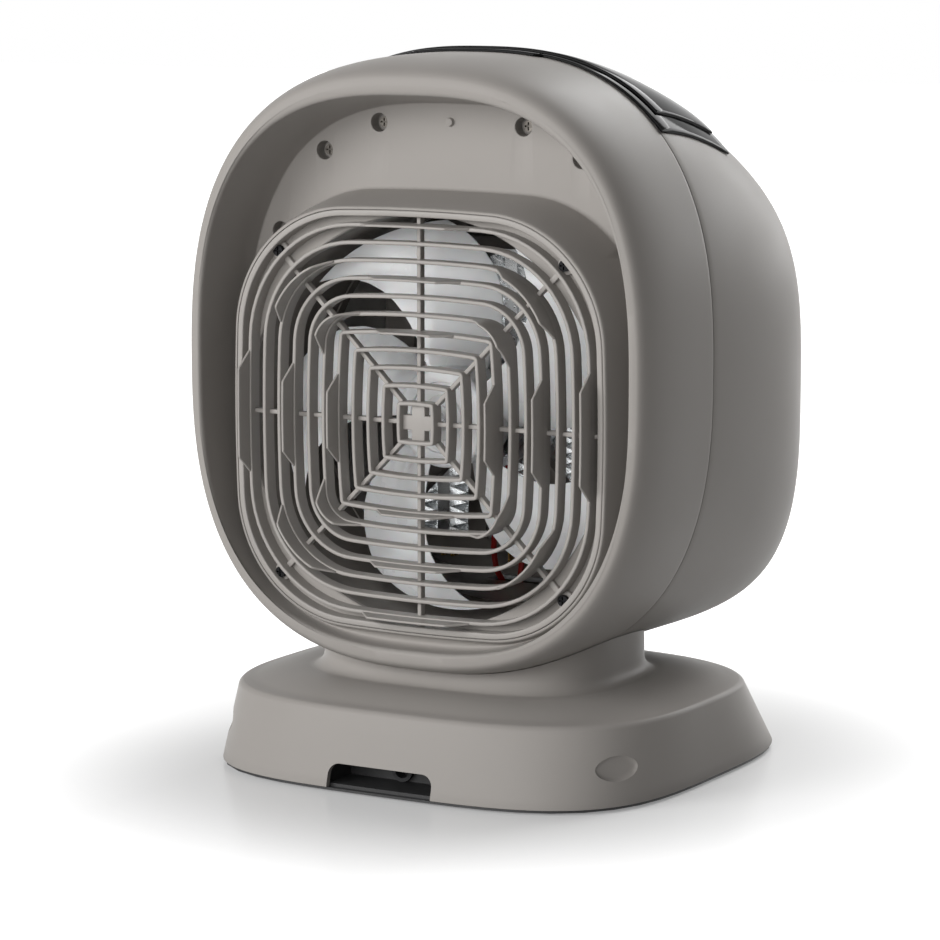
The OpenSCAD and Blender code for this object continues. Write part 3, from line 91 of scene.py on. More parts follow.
class HeaterSizes(bpy.types.PropertyGroup):
    """Sizes of the body, the intake and the base."""
    seam: length_prop("Parting line", 20, "Place of the line between the shells, along Y")
    rim: length_prop("Rim", 77, "Rearmost edge of the rim round the recess")
    face: length_prop("Front face", -96, "Foremost face of the body")
    shell_wall: length_prop("Shell wall", 2.5, "Thickness of the shells")
    half_width: length_prop("Half width", 110.5, "Half of the body's width")
    top: length_prop("Top", 297.5, "Height of the body's top")
    low: length_prop("Underside", 45, "Height of the body's lowest point")
    groove: length_prop("Seam groove", 0.5, "Depth of the fine groove at the parting line")
    side_turn: length_prop("Side turn", 29.3, "How far the sides turn in towards the front face")
    top_slope: length_prop("Top slope", 67.9, "How far the top slopes down to the front face")
    low_rise: length_prop("Low rise", 17.8, "How far the underside rises to the front face")
    outlet: length_prop("Outlet", 74, "Half width and half height of the outlet")
    recess_floor: length_prop("Recess floor", 41.8, "Place of the recess floor, along Y")
    recess_half: length_prop("Recess", 100.2, "Half width of the recess at its mouth")
    recess_top: length_prop("Recess top", 281.5, "Height of the top of the recess's mouth")
    recess_low: length_prop("Recess foot", 56.8, "Height of the lowest point of the recess's mouth")
    well_radius: length_prop("Well", 3.9, "Radius of the screw wells in the recess floor")
    well_depth: length_prop("Well depth", 6.2, "Depth of the screw wells")
    intake_height: length_prop("Intake height", 149.2, "Height of the intake's centre")
    rib_pitch: length_prop("Rib pitch", 7.2, "Distance from one rib to the next")
    rib_wall: length_prop("Rib thickness", 1.6, "Thickness of a rib")
    rib_depth: length_prop("Rib depth", 6.4, "Depth of a rib along the air flow")
    rib_edge: length_prop("Rib rounding", 0.55, "Radius on a rib's rear edges")
    rib_face: length_prop("Rib edge", 70.4, "Place of the ribs' rear edges, along Y")
    fin_rise: length_prop("Fin height", 8, "Height of the raised fins")
    fin_slope: length_prop("Fin slope", 7, "Length of the slope at each end of a fin")
    blade: length_prop("Blade", 1.6, "Thickness of a fan blade")
    fan_radius: length_prop("Fan radius", 80, "Radius at the blade tips")
    hub_radius: length_prop("Hub radius", 21, "Radius of the fan's hub")
    skirt_edge: length_prop("Skirt edge", 0.8, "Radius of the edge round the base's top")


class HeaterFinishes(bpy.types.PropertyGroup):
    """Colours of the plastics, metals and rubber."""
    shell: colour_prop("Shell", "#8f8b87", "Warm grey of the shells and the base")
    grille: colour_prop("Grille", "#94908c", "Warm grey of the intake and outlet grilles")
    panel: colour_prop("Panel", "#0b0b0c", "Black of the touch panel")
    # Near white: partly the fan's own pale grey plastic and partly painted light, raised so the blades
    # look more brightly lit
    blades: colour_prop("Fan", "#e1e2e3", "Cool grey white of the fan")
    housing: colour_prop("Fan housing", "#6b6661", "Grey of the fan housing and the heater's frame")
    trim: colour_prop("Black plastic", "#1a1a1b", "Black of the tray, the foot disc and the switch")
    natural: colour_prop("Gear plastic", "#e4dfd2", "Natural white of the gears")
    rubber: colour_prop("Rubber", "#1c1c1e", "Black of the feet and the inlet")
    board: colour_prop("Circuit board", "#1d5f3c", "Green of the circuit boards")
    lead: colour_prop("Leads", "#9c1f1a", "Red of the silicone leads")
    metal: colour_prop("Plated steel", "#b8babd", "Tint of the plated steel")
    # Near black: partly the screws' dark plating and partly painted shade for the dark holes of the
    # grille's screws
    screw: colour_prop("Screws", "#202021", "Tint of the dark plated screws")
    grey_screw: colour_prop("Shell screws", "#66625d", "Tint of the shell screws")
    aluminium: colour_prop("Aluminium", "#cfd1d2", "Tint of the rolled aluminium")
    brass: colour_prop("Brass", "#cfa75c", "Tint of the stamped terminals")


class HeaterStage(bpy.types.PropertyGroup):
    """Place of the camera and strength of the lights."""
    azimuth: angle_prop("Azimuth", 210.115, "Direction of the camera round the heater")
    elevation: angle_prop("Elevation", 8.478, "Height of the camera above the horizon")
    distance: length_prop("Distance", 1496.1, "From the camera to the plane of the intake")
    aim_right: length_prop("Aim right", 22.34, "How far right of the intake the camera aims")
    aim_up: length_prop("Aim up", -18.6, "How far above the intake the camera aims")
    lens: FloatProperty(name="Lens", description="Focal length in millimetres", unit="CAMERA",
                        default=141.7)
    key_power: power_prop("Key light", 18.5, "Power of the key light, behind the heater to one side")
    fill_power: power_prop("Fill light", 12.8, "Power of the light beside the camera")
    back_power: power_prop("Back light", 10.0, "Power of the low light before the front face")
    front_power: power_prop("Front light", 19.0, "Power of the high light before the front face")
    room_level: FloatProperty(name="Room light", description="Strength of the even light",
                              subtype="FACTOR", min=0.0, max=1.0, default=0.045)


def sizes():
    """The sizes as numbers in millimetres, by name."""
    group = bpy.context.scene.heater_sizes
    return {name: getattr(group, name) / MM for name in HeaterSizes.__annotations__}


# Squareness of the soft squares: 2 is an ellipse, and more is squarer
BODY_SQUARENESS = 2.58
FACE_SQUARENESS_UP = 4.9
FACE_SQUARENESS_LOW = 4.05
RECESS_SQUARENESS = 2.75
BASE_SQUARENESS = 3.6
BASE_TOP_SQUARENESS = 3.0
NECK_SQUARENESS = 3.0
OUTLET_SQUARENESS = 4.4


def mix(a, b, t):
    """The value a share t of the way from a to b."""
    return a + (b - a) * t


def turns(count=ROUND):
    """Angles round a section, evenly spaced."""
    return np.arange(count) * 2 * math.pi / count


def polar(angle, squareness):
    """Radius of a soft square of half size 1 in a direction."""
    c = np.abs(np.cos(angle)) ** squareness
    s = np.abs(np.sin(angle)) ** squareness
    return (c + s) ** (-1 / squareness)


def quarter_arc(steps, first=0):
    """Cosine and sine of evenly spaced angles over a quarter turn."""
    angles = [math.pi / 2 * i / steps for i in range(first, steps + 1)]
    return [(math.cos(angle), math.sin(angle)) for angle in angles]


def compass(quarters):
    """Cosine and sine of so many quarter turns."""
    return math.cos(quarters * math.pi / 2), math.sin(quarters * math.pi / 2)


def four_ways(points):
    """The points as they are and after one, two and three quarter turns."""
    copies = []
    for quarters in range(4):
        c, s = compass(quarters)
        copies += [(x * c - z * s, x * s + z * c) for x, z in points]
    return copies


def climbing(sign, start, over):
    """Shares round a section: 0 to where the height passes the start, 1 from an amount over it
    on. Sign 1 counts up from the middle and -1 down."""
    return np.clip((sign * np.sin(turns()) - start) / over, 0, 1)[:, None]


def ease(t, power):
    """0 to 1 with a flat start and a steep end."""
    t = min(1.0, max(0.0, t))
    return 1 - (1 - t ** power) ** (1 / power)


def upright(y, half, top, low, squareness):
    """An upright soft-square section at depth y."""
    angle = turns()
    r = polar(angle, squareness)
    x = half * r * np.cos(angle)
    z = (top + low) / 2 + (top - low) / 2 * r * np.sin(angle)
    return np.stack([x, np.full(ROUND, y), z], 1)


def level(z, across, along, middle, squareness, count=ROUND):
    """A level soft-square section at height z, about a middle along Y."""
    angle = turns(count)
    r = polar(angle, squareness)
    return np.stack([across * r * np.cos(angle), middle + along * r * np.sin(angle),
                     np.full(count, z)], 1)


class Skin:
    """The outer skin of the body: half width, top, lowest point and squareness at a depth y.
    Going forward, the sides turn in from one depth on and the underside rises from another."""
    # Where the sides start to turn in and the underside starts to rise, along Y
    side_start, low_start = -14.4, -33.3
    # How far the sides, the top and the underside draw in from the seam back to the rim
    side_roll, top_roll, low_roll = 8, 11.5, 10
    # How late those curves fall: at the rim, and at the front face
    side_late, top_late = 3.3, 2.8
    face_side_late, face_top_late, face_low_late = 2.4, 1.6, 3.4
    # The same for the squareness of the upper and the lower half
    square_up_late, square_low_late = 2.8, 3.1

    def __init__(self, size):
        self.size = size

    def forward(self, y, start=None):
        """Share of the way from a depth, or else from the seam, to the front face."""
        start = self.size["seam"] if start is None else start
        return (start - y) / (start - self.size["face"])

    def rearward(self, y):
        """Share of the way from the seam to the rim."""
        return (y - self.size["seam"]) / (self.size["rim"] - self.size["seam"])

    def squareness(self, y, upper):
        """Squareness of the upper or the lower half, which grows towards the front face."""
        if upper:
            return mix(BODY_SQUARENESS, FACE_SQUARENESS_UP, ease(self.forward(y), self.square_up_late))
        return mix(BODY_SQUARENESS, FACE_SQUARENESS_LOW, ease(self.forward(y), self.square_low_late))

    def half(self, y):
        """Half width at depth y."""
        size = self.size
        if y >= size["seam"]:
            fall = 1 + self.side_roll * ease(self.rearward(y), self.side_late)
        elif y > self.side_start:
            fall = ((y - self.side_start) / (size["seam"] - self.side_start)) ** 2
        else:
            fall = size["side_turn"] * ease(self.forward(y, self.side_start), self.face_side_late)
        return size["half_width"] - fall

    def top(self, y):
        """Height of the top at depth y."""
        size = self.size
        if y >= size["seam"]:
            return size["top"] - self.top_roll * ease(self.rearward(y), self.top_late)
        return size["top"] - size["top_slope"] * ease(self.forward(y), self.face_top_late)

    def low(self, y):
        """Height of the lowest point at depth y."""
        size = self.size
        if y >= size["seam"]:
            return size["low"] + self.low_roll * ease(self.rearward(y), self.side_late)
        return size["low"] + size["low_rise"] * ease(self.forward(y, self.low_start), self.face_low_late)

    def point(self, angle, y, lift=0.0):
        """A point in a direction from the middle, lifted off the skin."""
        r = float(polar(angle, self.squareness(y, math.sin(angle) >= 0)))
        rise = (self.top(y) - self.low(y)) / 2
        return ((self.half(y) + lift) * r * math.cos(angle), y,
                (self.top(y) + self.low(y)) / 2 + (rise + lift) * r * math.sin(angle))

    def ring(self, y, inset=0.0):
        """The section at depth y, moved in by inset."""
        return np.array([self.point(angle, y, -inset) for angle in turns()])

    def seam_edge(self, side):
        """Sections of a shell's edge with its half of the groove: 1 is the rear shell's edge and
        -1 the front shell's."""
        seam, groove = self.size["seam"], self.size["groove"]
        return [self.ring(seam + side * 0.02, groove + 0.35), self.ring(seam + side * 0.12, groove),
                self.ring(seam + side * groove * 0.6, 0.1), self.ring(seam + side * groove + side * 0.3)]

    def under(self, x, y):
        """Height of the underside at a place."""
        rise = (self.top(y) - self.low(y)) / 2
        side = min(1.0, abs(x) / self.half(y))
        power = self.squareness(y, False)
        return (self.top(y) + self.low(y)) / 2 - rise * (1 - side ** power) ** (1 / power)


# The intake's squares have bowed sides and round corners. A side is an arc whose centre lies
# so many half sizes beyond the middle.
BOW = 9


def corner_centre(half, corner):
    """Centre of the corner arc of a soft square with bowed sides."""
    bow = half * BOW
    return (-bow + math.sqrt(2 * (half + bow - corner) ** 2 - bow ** 2)) / 2


def soft_square(half, corner, side_steps, corner_steps):
    """Outline of a square with bowed sides and round corners."""
    bow = half * BOW
    centre = corner_centre(half, corner)
    turn = math.atan2(centre, centre + bow)
    quarter = []
    for i in range(side_steps + 1):
        t = mix(-turn, turn, i / side_steps)
        quarter.append((-bow + (half + bow) * math.cos(t), (half + bow) * math.sin(t)))
    for i in range(1, corner_steps):
        t = mix(turn, math.pi / 2 - turn, i / corner_steps)
        quarter.append((centre + corner * math.cos(t), centre + corner * math.sin(t)))
    return four_ways(quarter)


# Half size and corner radius of the frame ring round the intake
FRAME_HALF = 86.1
FRAME_CORNER = 53.0


def frame_radius(angle, half):
    """Distance from the centre to the frame ring's outline in a direction."""
    bow = FRAME_HALF * BOW
    reach = FRAME_HALF + bow
    centre = corner_centre(FRAME_HALF, FRAME_CORNER)
    turn = math.atan2(centre, centre + bow)
    meet = math.atan2(reach * math.sin(turn), -bow + reach * math.cos(turn))
    folded = abs((angle + math.pi / 4) % (math.pi / 2) - math.pi / 4)
    c, s = math.cos(folded), math.sin(folded)
    if folded < meet:
        r = -bow * c + math.sqrt(reach ** 2 - (bow * s) ** 2)
    else:
        r = centre * (c + s) + math.sqrt(FRAME_CORNER ** 2 - (centre * (c - s)) ** 2)
    return r * half / FRAME_HALF


def frame_line(half):
    """The frame ring's outline as (across, up) pairs, at a half size."""
    radii = [(frame_radius(angle, half), angle) for angle in turns()]
    return [(r * math.cos(angle), r * math.sin(angle)) for r, angle in radii]


def drum_ring(y, half, height):
    """A section of the drum that carries the intake."""
    return np.array([(x, y, height + z) for x, z in frame_line(half)])


def round_ring(y, radius, height, x=0, count=ROUND):
    """A round upright section about a place across and a height."""
    angle = turns(count)
    return np.stack([x + radius * np.cos(angle), np.full(count, y),
                     height + radius * np.sin(angle)], 1)


# Making meshes

def new_object(name, shape, sharp_degrees=35):
    """A mesh object from points in millimetres and faces, with its normals turned out and
    shaded smooth but for its sharp edges."""
    verts, faces = shape
    mesh = bpy.data.meshes.new(name)
    mesh.from_pydata([tuple(float(c) * MM for c in v) for v in verts], [], faces)
    mesh.validate()
    obj = bpy.data.objects.new(name, mesh)
    bpy.context.scene.collection.objects.link(obj)
    work = bmesh.new()
    work.from_mesh(mesh)
    bmesh.ops.recalc_face_normals(work, faces=work.faces)
    work.to_mesh(mesh)
    work.free()
    shade(mesh, sharp_degrees)
    return obj


def shade(mesh, sharp_degrees):
    """Shades a mesh's faces smooth, with edges over the angle kept sharp."""
    mesh.shade_smooth()
    mesh.set_sharp_from_angle(angle=math.radians(sharp_degrees))


def sections(rings, closed):
    """Points and faces of a skin over sections; closed joins the last one to the first."""
    rings = [np.asarray(r) for r in rings]
    n = len(rings[0])
    m = len(rings)
    faces = []
    for j in range(m if closed else m - 1):
        k = (j + 1) % m
        for i in range(n):
            h = (i + 1) % n
            faces.append((j * n + i, j * n + h, k * n + h, k * n + i))
    return np.concatenate(rings), faces


def capped(rings):
    """Points and faces of a skin over sections, with a flat face at each end."""
    verts, faces = sections(rings, False)
    n = len(rings[0])
    last = (len(rings) - 1) * n
    faces.append(tuple(range(n - 1, -1, -1)))
    faces.append(tuple(last + i for i in range(n)))
    return verts, faces


def turned(profile, axis, centre, steps=48):
    """Points and faces of a shape turned about the Y or Z axis. The profile holds
    (radius, place along the axis) pairs, and starts and ends on the axis or closes itself."""
    verts = []
    for i in range(steps):
        t = 2 * math.pi * i / steps
        for r, along in profile:
            across = (r * math.cos(t), r * math.sin(t))
            spot = (across[0], along, across[1]) if axis == "Y" else (across[0], across[1], along)
            verts.append(tuple(a + b for a, b in zip(spot, centre)))
    n = len(profile)
    faces = []
    for i in range(steps):
        j = (i + 1) % steps
        for k in range(n - 1):
            faces.append((i * n + k, i * n + k + 1, j * n + k + 1, j * n + k))
    return verts, faces


def gather(parts):
    """Joins several (points, faces) pairs into one."""
    verts, faces = [], []
    for part_verts, part_faces in parts:
        start = len(verts)
        verts += [tuple(v) for v in part_verts]
        faces += [tuple(start + i for i in f) for f in part_faces]
    return verts, faces


def lifted(shape, height):
    """Points and faces moved up."""
    verts, faces = shape
    return [(x, y, z + height) for x, y, z in verts], faces


def carve(obj, cutters, sharp_degrees=35):
    """Cuts closed shapes out of an object's mesh."""
    tool = new_object(obj.name + "_cutter", gather(cutters))
    cut = obj.modifiers.new("cut", "BOOLEAN")
    cut.operation = "DIFFERENCE"
    cut.solver = "EXACT"
    cut.use_self = True
    cut.object = tool
    bpy.context.view_layer.update()
    graph = bpy.context.evaluated_depsgraph_get()
    mesh = bpy.data.meshes.new_from_object(obj.evaluated_get(graph))
    obj.modifiers.clear()
    obj.data = mesh
    shade(mesh, sharp_degrees)
    bpy.data.objects.remove(tool)


def rounded(obj, width, sharp_degrees=40):
    """Adds a fine rounding to an object's sharp edges, as moulding and stamping leave."""
    bevel = obj.modifiers.new("edge rounding", "BEVEL")
    bevel.width = width * MM
    bevel.segments = 2
    bevel.limit_method = "ANGLE"
    bevel.angle_limit = math.radians(sharp_degrees)
    bevel.use_clamp_overlap = True


def smooth_by_angle():
    """A geometry node group that shades faces smooth and keeps edges over 30 degrees sharp."""
    name = "Smooth by edge angle"
    if name in bpy.data.node_groups:
        return bpy.data.node_groups[name]
    tree = bpy.data.node_groups.new(name, "GeometryNodeTree")
    tree.is_modifier = True
    tree.interface.new_socket("Geometry", in_out="INPUT", socket_type="NodeSocketGeometry")
    tree.interface.new_socket("Geometry", in_out="OUTPUT", socket_type="NodeSocketGeometry")
    start = add_node(tree, "NodeGroupInput")
    weld = add_node(tree, "GeometryNodeMergeByDistance", {"Geometry": start.outputs["Geometry"]},
                    Distance=0.000001)
    faces = add_node(tree, "GeometryNodeSetShadeSmooth", {"Geometry": weld.outputs["Geometry"]})
    fold = add_node(tree, "GeometryNodeInputMeshEdgeAngle")
    sharp = add_node(tree, "FunctionNodeCompare", {"A": fold.outputs["Unsigned Angle"]},
                     data_type="FLOAT", operation="LESS_THAN", B=math.radians(30))
    edges = add_node(tree, "GeometryNodeSetShadeSmooth",
                     {"Geometry": faces.outputs["Geometry"], "Shade Smooth": sharp.outputs["Result"]},
                     domain="EDGE")
    add_node(tree, "NodeGroupOutput", {"Geometry": edges.outputs["Geometry"]})
    return tree


def soften(*names):
    """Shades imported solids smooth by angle, without touching their meshes."""
    for name in names:
        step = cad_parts[name].modifiers.new("smooth shading", "NODES")
        step.node_group = smooth_by_angle()


# Materials

def add_node(tree, kind, links=None, **settings):
    """Adds a node: settings are its properties or the values of its inputs, and links join
    its inputs to other nodes' outputs."""
    made = tree.nodes.new(kind)
    for key, value in settings.items():
        if hasattr(made, key):
            setattr(made, key, value)
        else:
            made.inputs[key.replace("_", " ")].default_value = value
    for key, output in (links or {}).items():
        tree.links.new(output, made.inputs[key])
    return made


def per_metre(millimetres):
    """Texture scale at which one cell of a pattern is so many millimetres across."""
    return 1000.0 / millimetres


def start_material(name, colour, roughness, ior=None, metallic=0.0, **extra):
    """A material with one principled shader: gives the material, its tree and the shader. A
    metal keeps the shader's own index of refraction."""
    material = bpy.data.materials.new(name)
    material.use_nodes = True
    tree = material.node_tree
    tree.nodes.clear()
    shader = add_node(tree, "ShaderNodeBsdfPrincipled")
    shader.inputs["Base Color"].default_value = (*colour, 1)
    shader.inputs["Roughness"].default_value = roughness
    shader.inputs["Metallic"].default_value = metallic
    if ior:
        shader.inputs["IOR"].default_value = ior
    for key, value in extra.items():
        shader.inputs[key.replace("_", " ")].default_value = value
    add_node(tree, "ShaderNodeOutputMaterial", {"Surface": shader.outputs["BSDF"]})
    material.diffuse_color = (*colour, 1)
    return material, tree, shader


# Most values of a noise pattern lie between these
NOISE_LOW = 0.3
NOISE_HIGH = 0.7


def vary_colour(tree, shader, colour, spot, millimetres, amount):
    """Lets the colour drift a little over a distance, as pigment does in a moulding."""
    cloud = add_node(tree, "ShaderNodeTexNoise", {"Vector": spot},
                     Scale=per_metre(millimetres), Detail=3.0)
    ramp = add_node(tree, "ShaderNodeValToRGB", {"Fac": cloud.outputs["Fac"]})
    for stop, position, factor in zip(ramp.color_ramp.elements, (NOISE_LOW, NOISE_HIGH),
                                      (1 - amount, 1 + amount)):
        stop.position = position
        stop.color = (*[min(1.0, c * factor) for c in colour], 1)
    tree.links.new(ramp.outputs["Color"], shader.inputs["Base Color"])


def vary_roughness(tree, shader, spot, millimetres, low, high):
    """Lets the gloss drift between two values, as handling and mould polish leave it."""
    cloud = add_node(tree, "ShaderNodeTexNoise", {"Vector": spot},
                     Scale=per_metre(millimetres), Detail=4.0)
    span = add_node(tree, "ShaderNodeMapRange", {"Value": cloud.outputs["Fac"]},
                    From_Min=NOISE_LOW, From_Max=NOISE_HIGH, To_Min=low, To_Max=high)
    tree.links.new(span.outputs["Result"], shader.inputs["Roughness"])


def grain(tree, shader, spot, millimetres, height, detail=2.0, stretch=(1, 1, 1)):
    """A fine relief of rounded bumps, so many millimetres across and high."""
    laid = add_node(tree, "ShaderNodeMapping", {"Vector": spot}, Scale=stretch)
    bumps = add_node(tree, "ShaderNodeTexNoise", {"Vector": laid.outputs["Vector"]},
                     Scale=per_metre(millimetres), Detail=detail, Roughness=0.55)
    relief = add_node(tree, "ShaderNodeBump", {"Height": bumps.outputs["Fac"]}, Strength=1.0,
                      Distance=height * MM)
    tree.links.new(relief.outputs["Normal"], shader.inputs["Normal"])


def surface(name, colour, roughness, ior=None, drift=None, polish=None, relief=None, **extra):
    """A material whose colour drifts, whose gloss varies and whose surface has a relief. Each
    of these starts with the size of its pattern in millimetres, on the object's own points."""
    material, tree, shader = start_material(name, colour, roughness, ior, **extra)
    spot = add_node(tree, "ShaderNodeTexCoord").outputs["Object"]
    if drift:
        vary_colour(tree, shader, colour, spot, *drift)
    if polish:
        vary_roughness(tree, shader, spot, *polish)
    if relief:
        grain(tree, shader, spot, *relief)
    return material


def spark_eroded_abs(name, colour):
    """ABS moulded in a spark-eroded tool: an even fine grain, so highlights are broad and
    silky and never mirror, and much of the gloss is lost in the grain. The real grain is
    0.1 mm; it is drawn at 0.45 mm to show."""
    return surface(name, colour, 0.42, 1.54, drift=(70, 0.018), polish=(35, 0.39, 0.46),
                   relief=(0.45, 0.006), Specular_IOR_Level=0.07)


def satin_abs_grille(name, colour):
    """ABS of the grilles, from a finer polished tool: crisper highlights along the ribs. The
    real grain is 0.05 mm; it is drawn at 0.4 mm to show."""
    return surface(name, colour, 0.36, 1.54, drift=(45, 0.015), polish=(20, 0.33, 0.4),
                   relief=(0.4, 0.003), Specular_IOR_Level=0.15)


def polished_acrylic(name, colour):
    """Acrylic moulded in a mirror-polished tool: deep black with sharp reflections and a
    trace of wiping marks in its gloss."""
    return surface(name, colour, 0.07, 1.49, polish=(12, 0.05, 0.11), relief=(30, 0.01),
                   Specular_IOR_Level=0.035)


def moulded_polypropylene(name, colour):
    """Polypropylene of the fan: slightly waxy and cloudy, a soft gloss with flow lines some
    2.4 mm apart."""
    return surface(name, colour, 0.3, 1.49, drift=(28, 0.03), polish=(15, 0.24, 0.36),
                   relief=(2.4, 0.004, 3.0, (1, 1, 0.3)), Subsurface_Weight=0.08, Subsurface_Scale=0.002)


def moulded_nylon(name, colour):
    """Glass-filled nylon of the hidden mouldings: dull, with the scatter of its fibres, which
    is drawn at 0.7 mm to show."""
    return surface(name, colour, 0.55, 1.53, drift=(25, 0.08), polish=(8, 0.48, 0.62), relief=(0.7, 0.01))


def natural_acetal(name, colour):
    """Acetal of the gears and the plunger: milky white with a greasy sheen. The faint marks of
    its tool are drawn at 0.6 mm to show."""
    return surface(name, colour, 0.35, 1.48, drift=(12, 0.03), relief=(0.6, 0.004),
                   Subsurface_Weight=0.2, Subsurface_Scale=0.0015)


def moulded_rubber(name, colour):
    """Moulded rubber: soft black with a dusty bloom, drawn at 0.5 mm to show."""
    return surface(name, colour, 0.75, 1.52, drift=(6, 0.15), relief=(0.5, 0.015))


def silicone_sleeve(name, colour):
    """Silicone rubber of the leads: slightly translucent red, satin, with the grain of its
    extrusion drawn at 0.5 mm to show."""
    return surface(name, colour, 0.4, 1.41, drift=(5, 0.06), relief=(0.5, 0.006),
                   Subsurface_Weight=0.15, Subsurface_Scale=0.001)


def lacquered_glass_epoxy(name, colour):
    """Glass-epoxy board under green lacquer, with the weave of its cloth at 0.5 mm."""
    return surface(name, colour, 0.3, 1.55, drift=(4, 0.12), relief=(0.5, 0.01),
                   Coat_Weight=0.4, Coat_Roughness=0.12)


def rolled_aluminium(name, colour, roughness):
    """Rolled aluminium sheet: bright, with rolling lines along its length, drawn 0.6 mm apart
    to show."""
    return surface(name, colour, roughness, polish=(9, roughness - 0.06, roughness + 0.1),
                   relief=(0.6, 0.008, 2.0, (1, 1, 0.08)), metallic=1.0)


def plated_steel(name, colour, roughness):
    """Steel with a zinc or phosphate coat: metallic with a fine grey bloom, whose crystals are
    drawn at 0.4 mm to show."""
    return surface(name, colour, roughness, drift=(3, 0.06),
                   polish=(2, roughness - 0.06, roughness + 0.1), relief=(0.4, 0.005), metallic=1.0)


def stamped_brass(name, colour):
    """Stamped brass tabs: warm metal with drawn edges. The grain of its rolling is drawn at
    0.3 mm to show."""
    return surface(name, colour, 0.28, polish=(2, 0.22, 0.36), relief=(0.3, 0.004), metallic=1.0)


def make_materials():
    """Every finish by a short name. Each material is named for the stuff and how it is made."""
    look = bpy.context.scene.heater_finishes
    return {
        "shell": spark_eroded_abs("ABS shell, spark-eroded grain", look.shell),
        "grille": satin_abs_grille("ABS grille, satin moulded", look.grille),
        "panel": polished_acrylic("Acrylic panel, mirror moulded", look.panel),
        # The fan's near-white colour is partly painted light
        "fan": moulded_polypropylene("Polypropylene fan, moulded", look.blades),
        "trim": moulded_nylon("Nylon, black moulded", look.trim),
        "housing": moulded_nylon("Nylon, grey moulded", look.housing),
        "natural": natural_acetal("Acetal, natural moulded", look.natural),
        "rubber": moulded_rubber("Rubber, black moulded", look.rubber),
        "board": lacquered_glass_epoxy("Glass epoxy board, lacquered", look.board),
        "lead": silicone_sleeve("Silicone sleeve, extruded", look.lead),
        "steel": plated_steel("Steel, zinc plated", look.metal, 0.3),
        # The near-black screw tint is partly painted shade for the grille's screw holes
        "screw": plated_steel("Screw steel, black zinc plated, with painted shade", look.screw, 0.6),
        "grey_screw": plated_steel("Screw steel, phosphated", look.grey_screw, 0.55),
        "fins": rolled_aluminium("Aluminium fin strip, rolled", look.aluminium, 0.22),
        "duct": rolled_aluminium("Aluminium duct sheet, rolled", look.aluminium, 0.42),
        "brass": stamped_brass("Brass, stamped", look.brass),
    }


# The materials, filled when the first piece is finished
FINISH = {}


def finish(obj, kind):
    """Gives an object its one material."""
    if not FINISH:
        FINISH.update(make_materials())
    obj.data.materials.clear()
    obj.data.materials.append(FINISH[kind])


def dress(kind, *names):
    """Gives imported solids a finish."""
    for name in names:
        finish(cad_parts[name], kind)
    soften(*names)


def stand_for(obj, kind, body, *nodes):
    """Finishes a piece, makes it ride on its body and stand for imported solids."""
    finish(obj, kind)
    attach(obj, body)
    if nodes:
        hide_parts(*nodes)


class PieceOperator(bpy.types.Operator):
    """Base of the operators that make one piece or group of pieces"""
    bl_options = {"REGISTER", "UNDO"}


# Places of the shells' screws in the recess floor, on one side, as (across, height)
SHELL_SCREWS = [(34, 268.6), (60.5, 256.4), (82.6, 222)]
# Radius of the holes that the screws go through
SCREW_HOLE = 1.6
# How far the grille's corner screws are from the intake's middle, across and up
GRILLE_SCREW = 67.0
# Radius of the round air intake, and half size and foot radius of the drum round it
INTAKE_RADIUS = 84.2
DRUM_HALF = 92.5
DRUM_FOOT = 1.6
# The drum's lip round the grille: half size, and how far its face lies before the ribs' edges
LIP_HALF = FRAME_HALF + 1.15
LIP_BACK = 0.1
# The recess wall: the fillet at its foot, and its lean along the sides and along the top
RECESS_FILLET = 0.7
RECESS_LEANS = (0.8, 4.2)
# How far the groove under the drum lies before the ribs' rear edges
GROOVE_BACK = 6.4
# Height of the locating pin on the recess floor
PIN_HEIGHT = 269.6


def grille_seat(size):
    """Depth of the seat that the intake grille stands on."""
    return size["rib_face"] - size["rib_depth"]


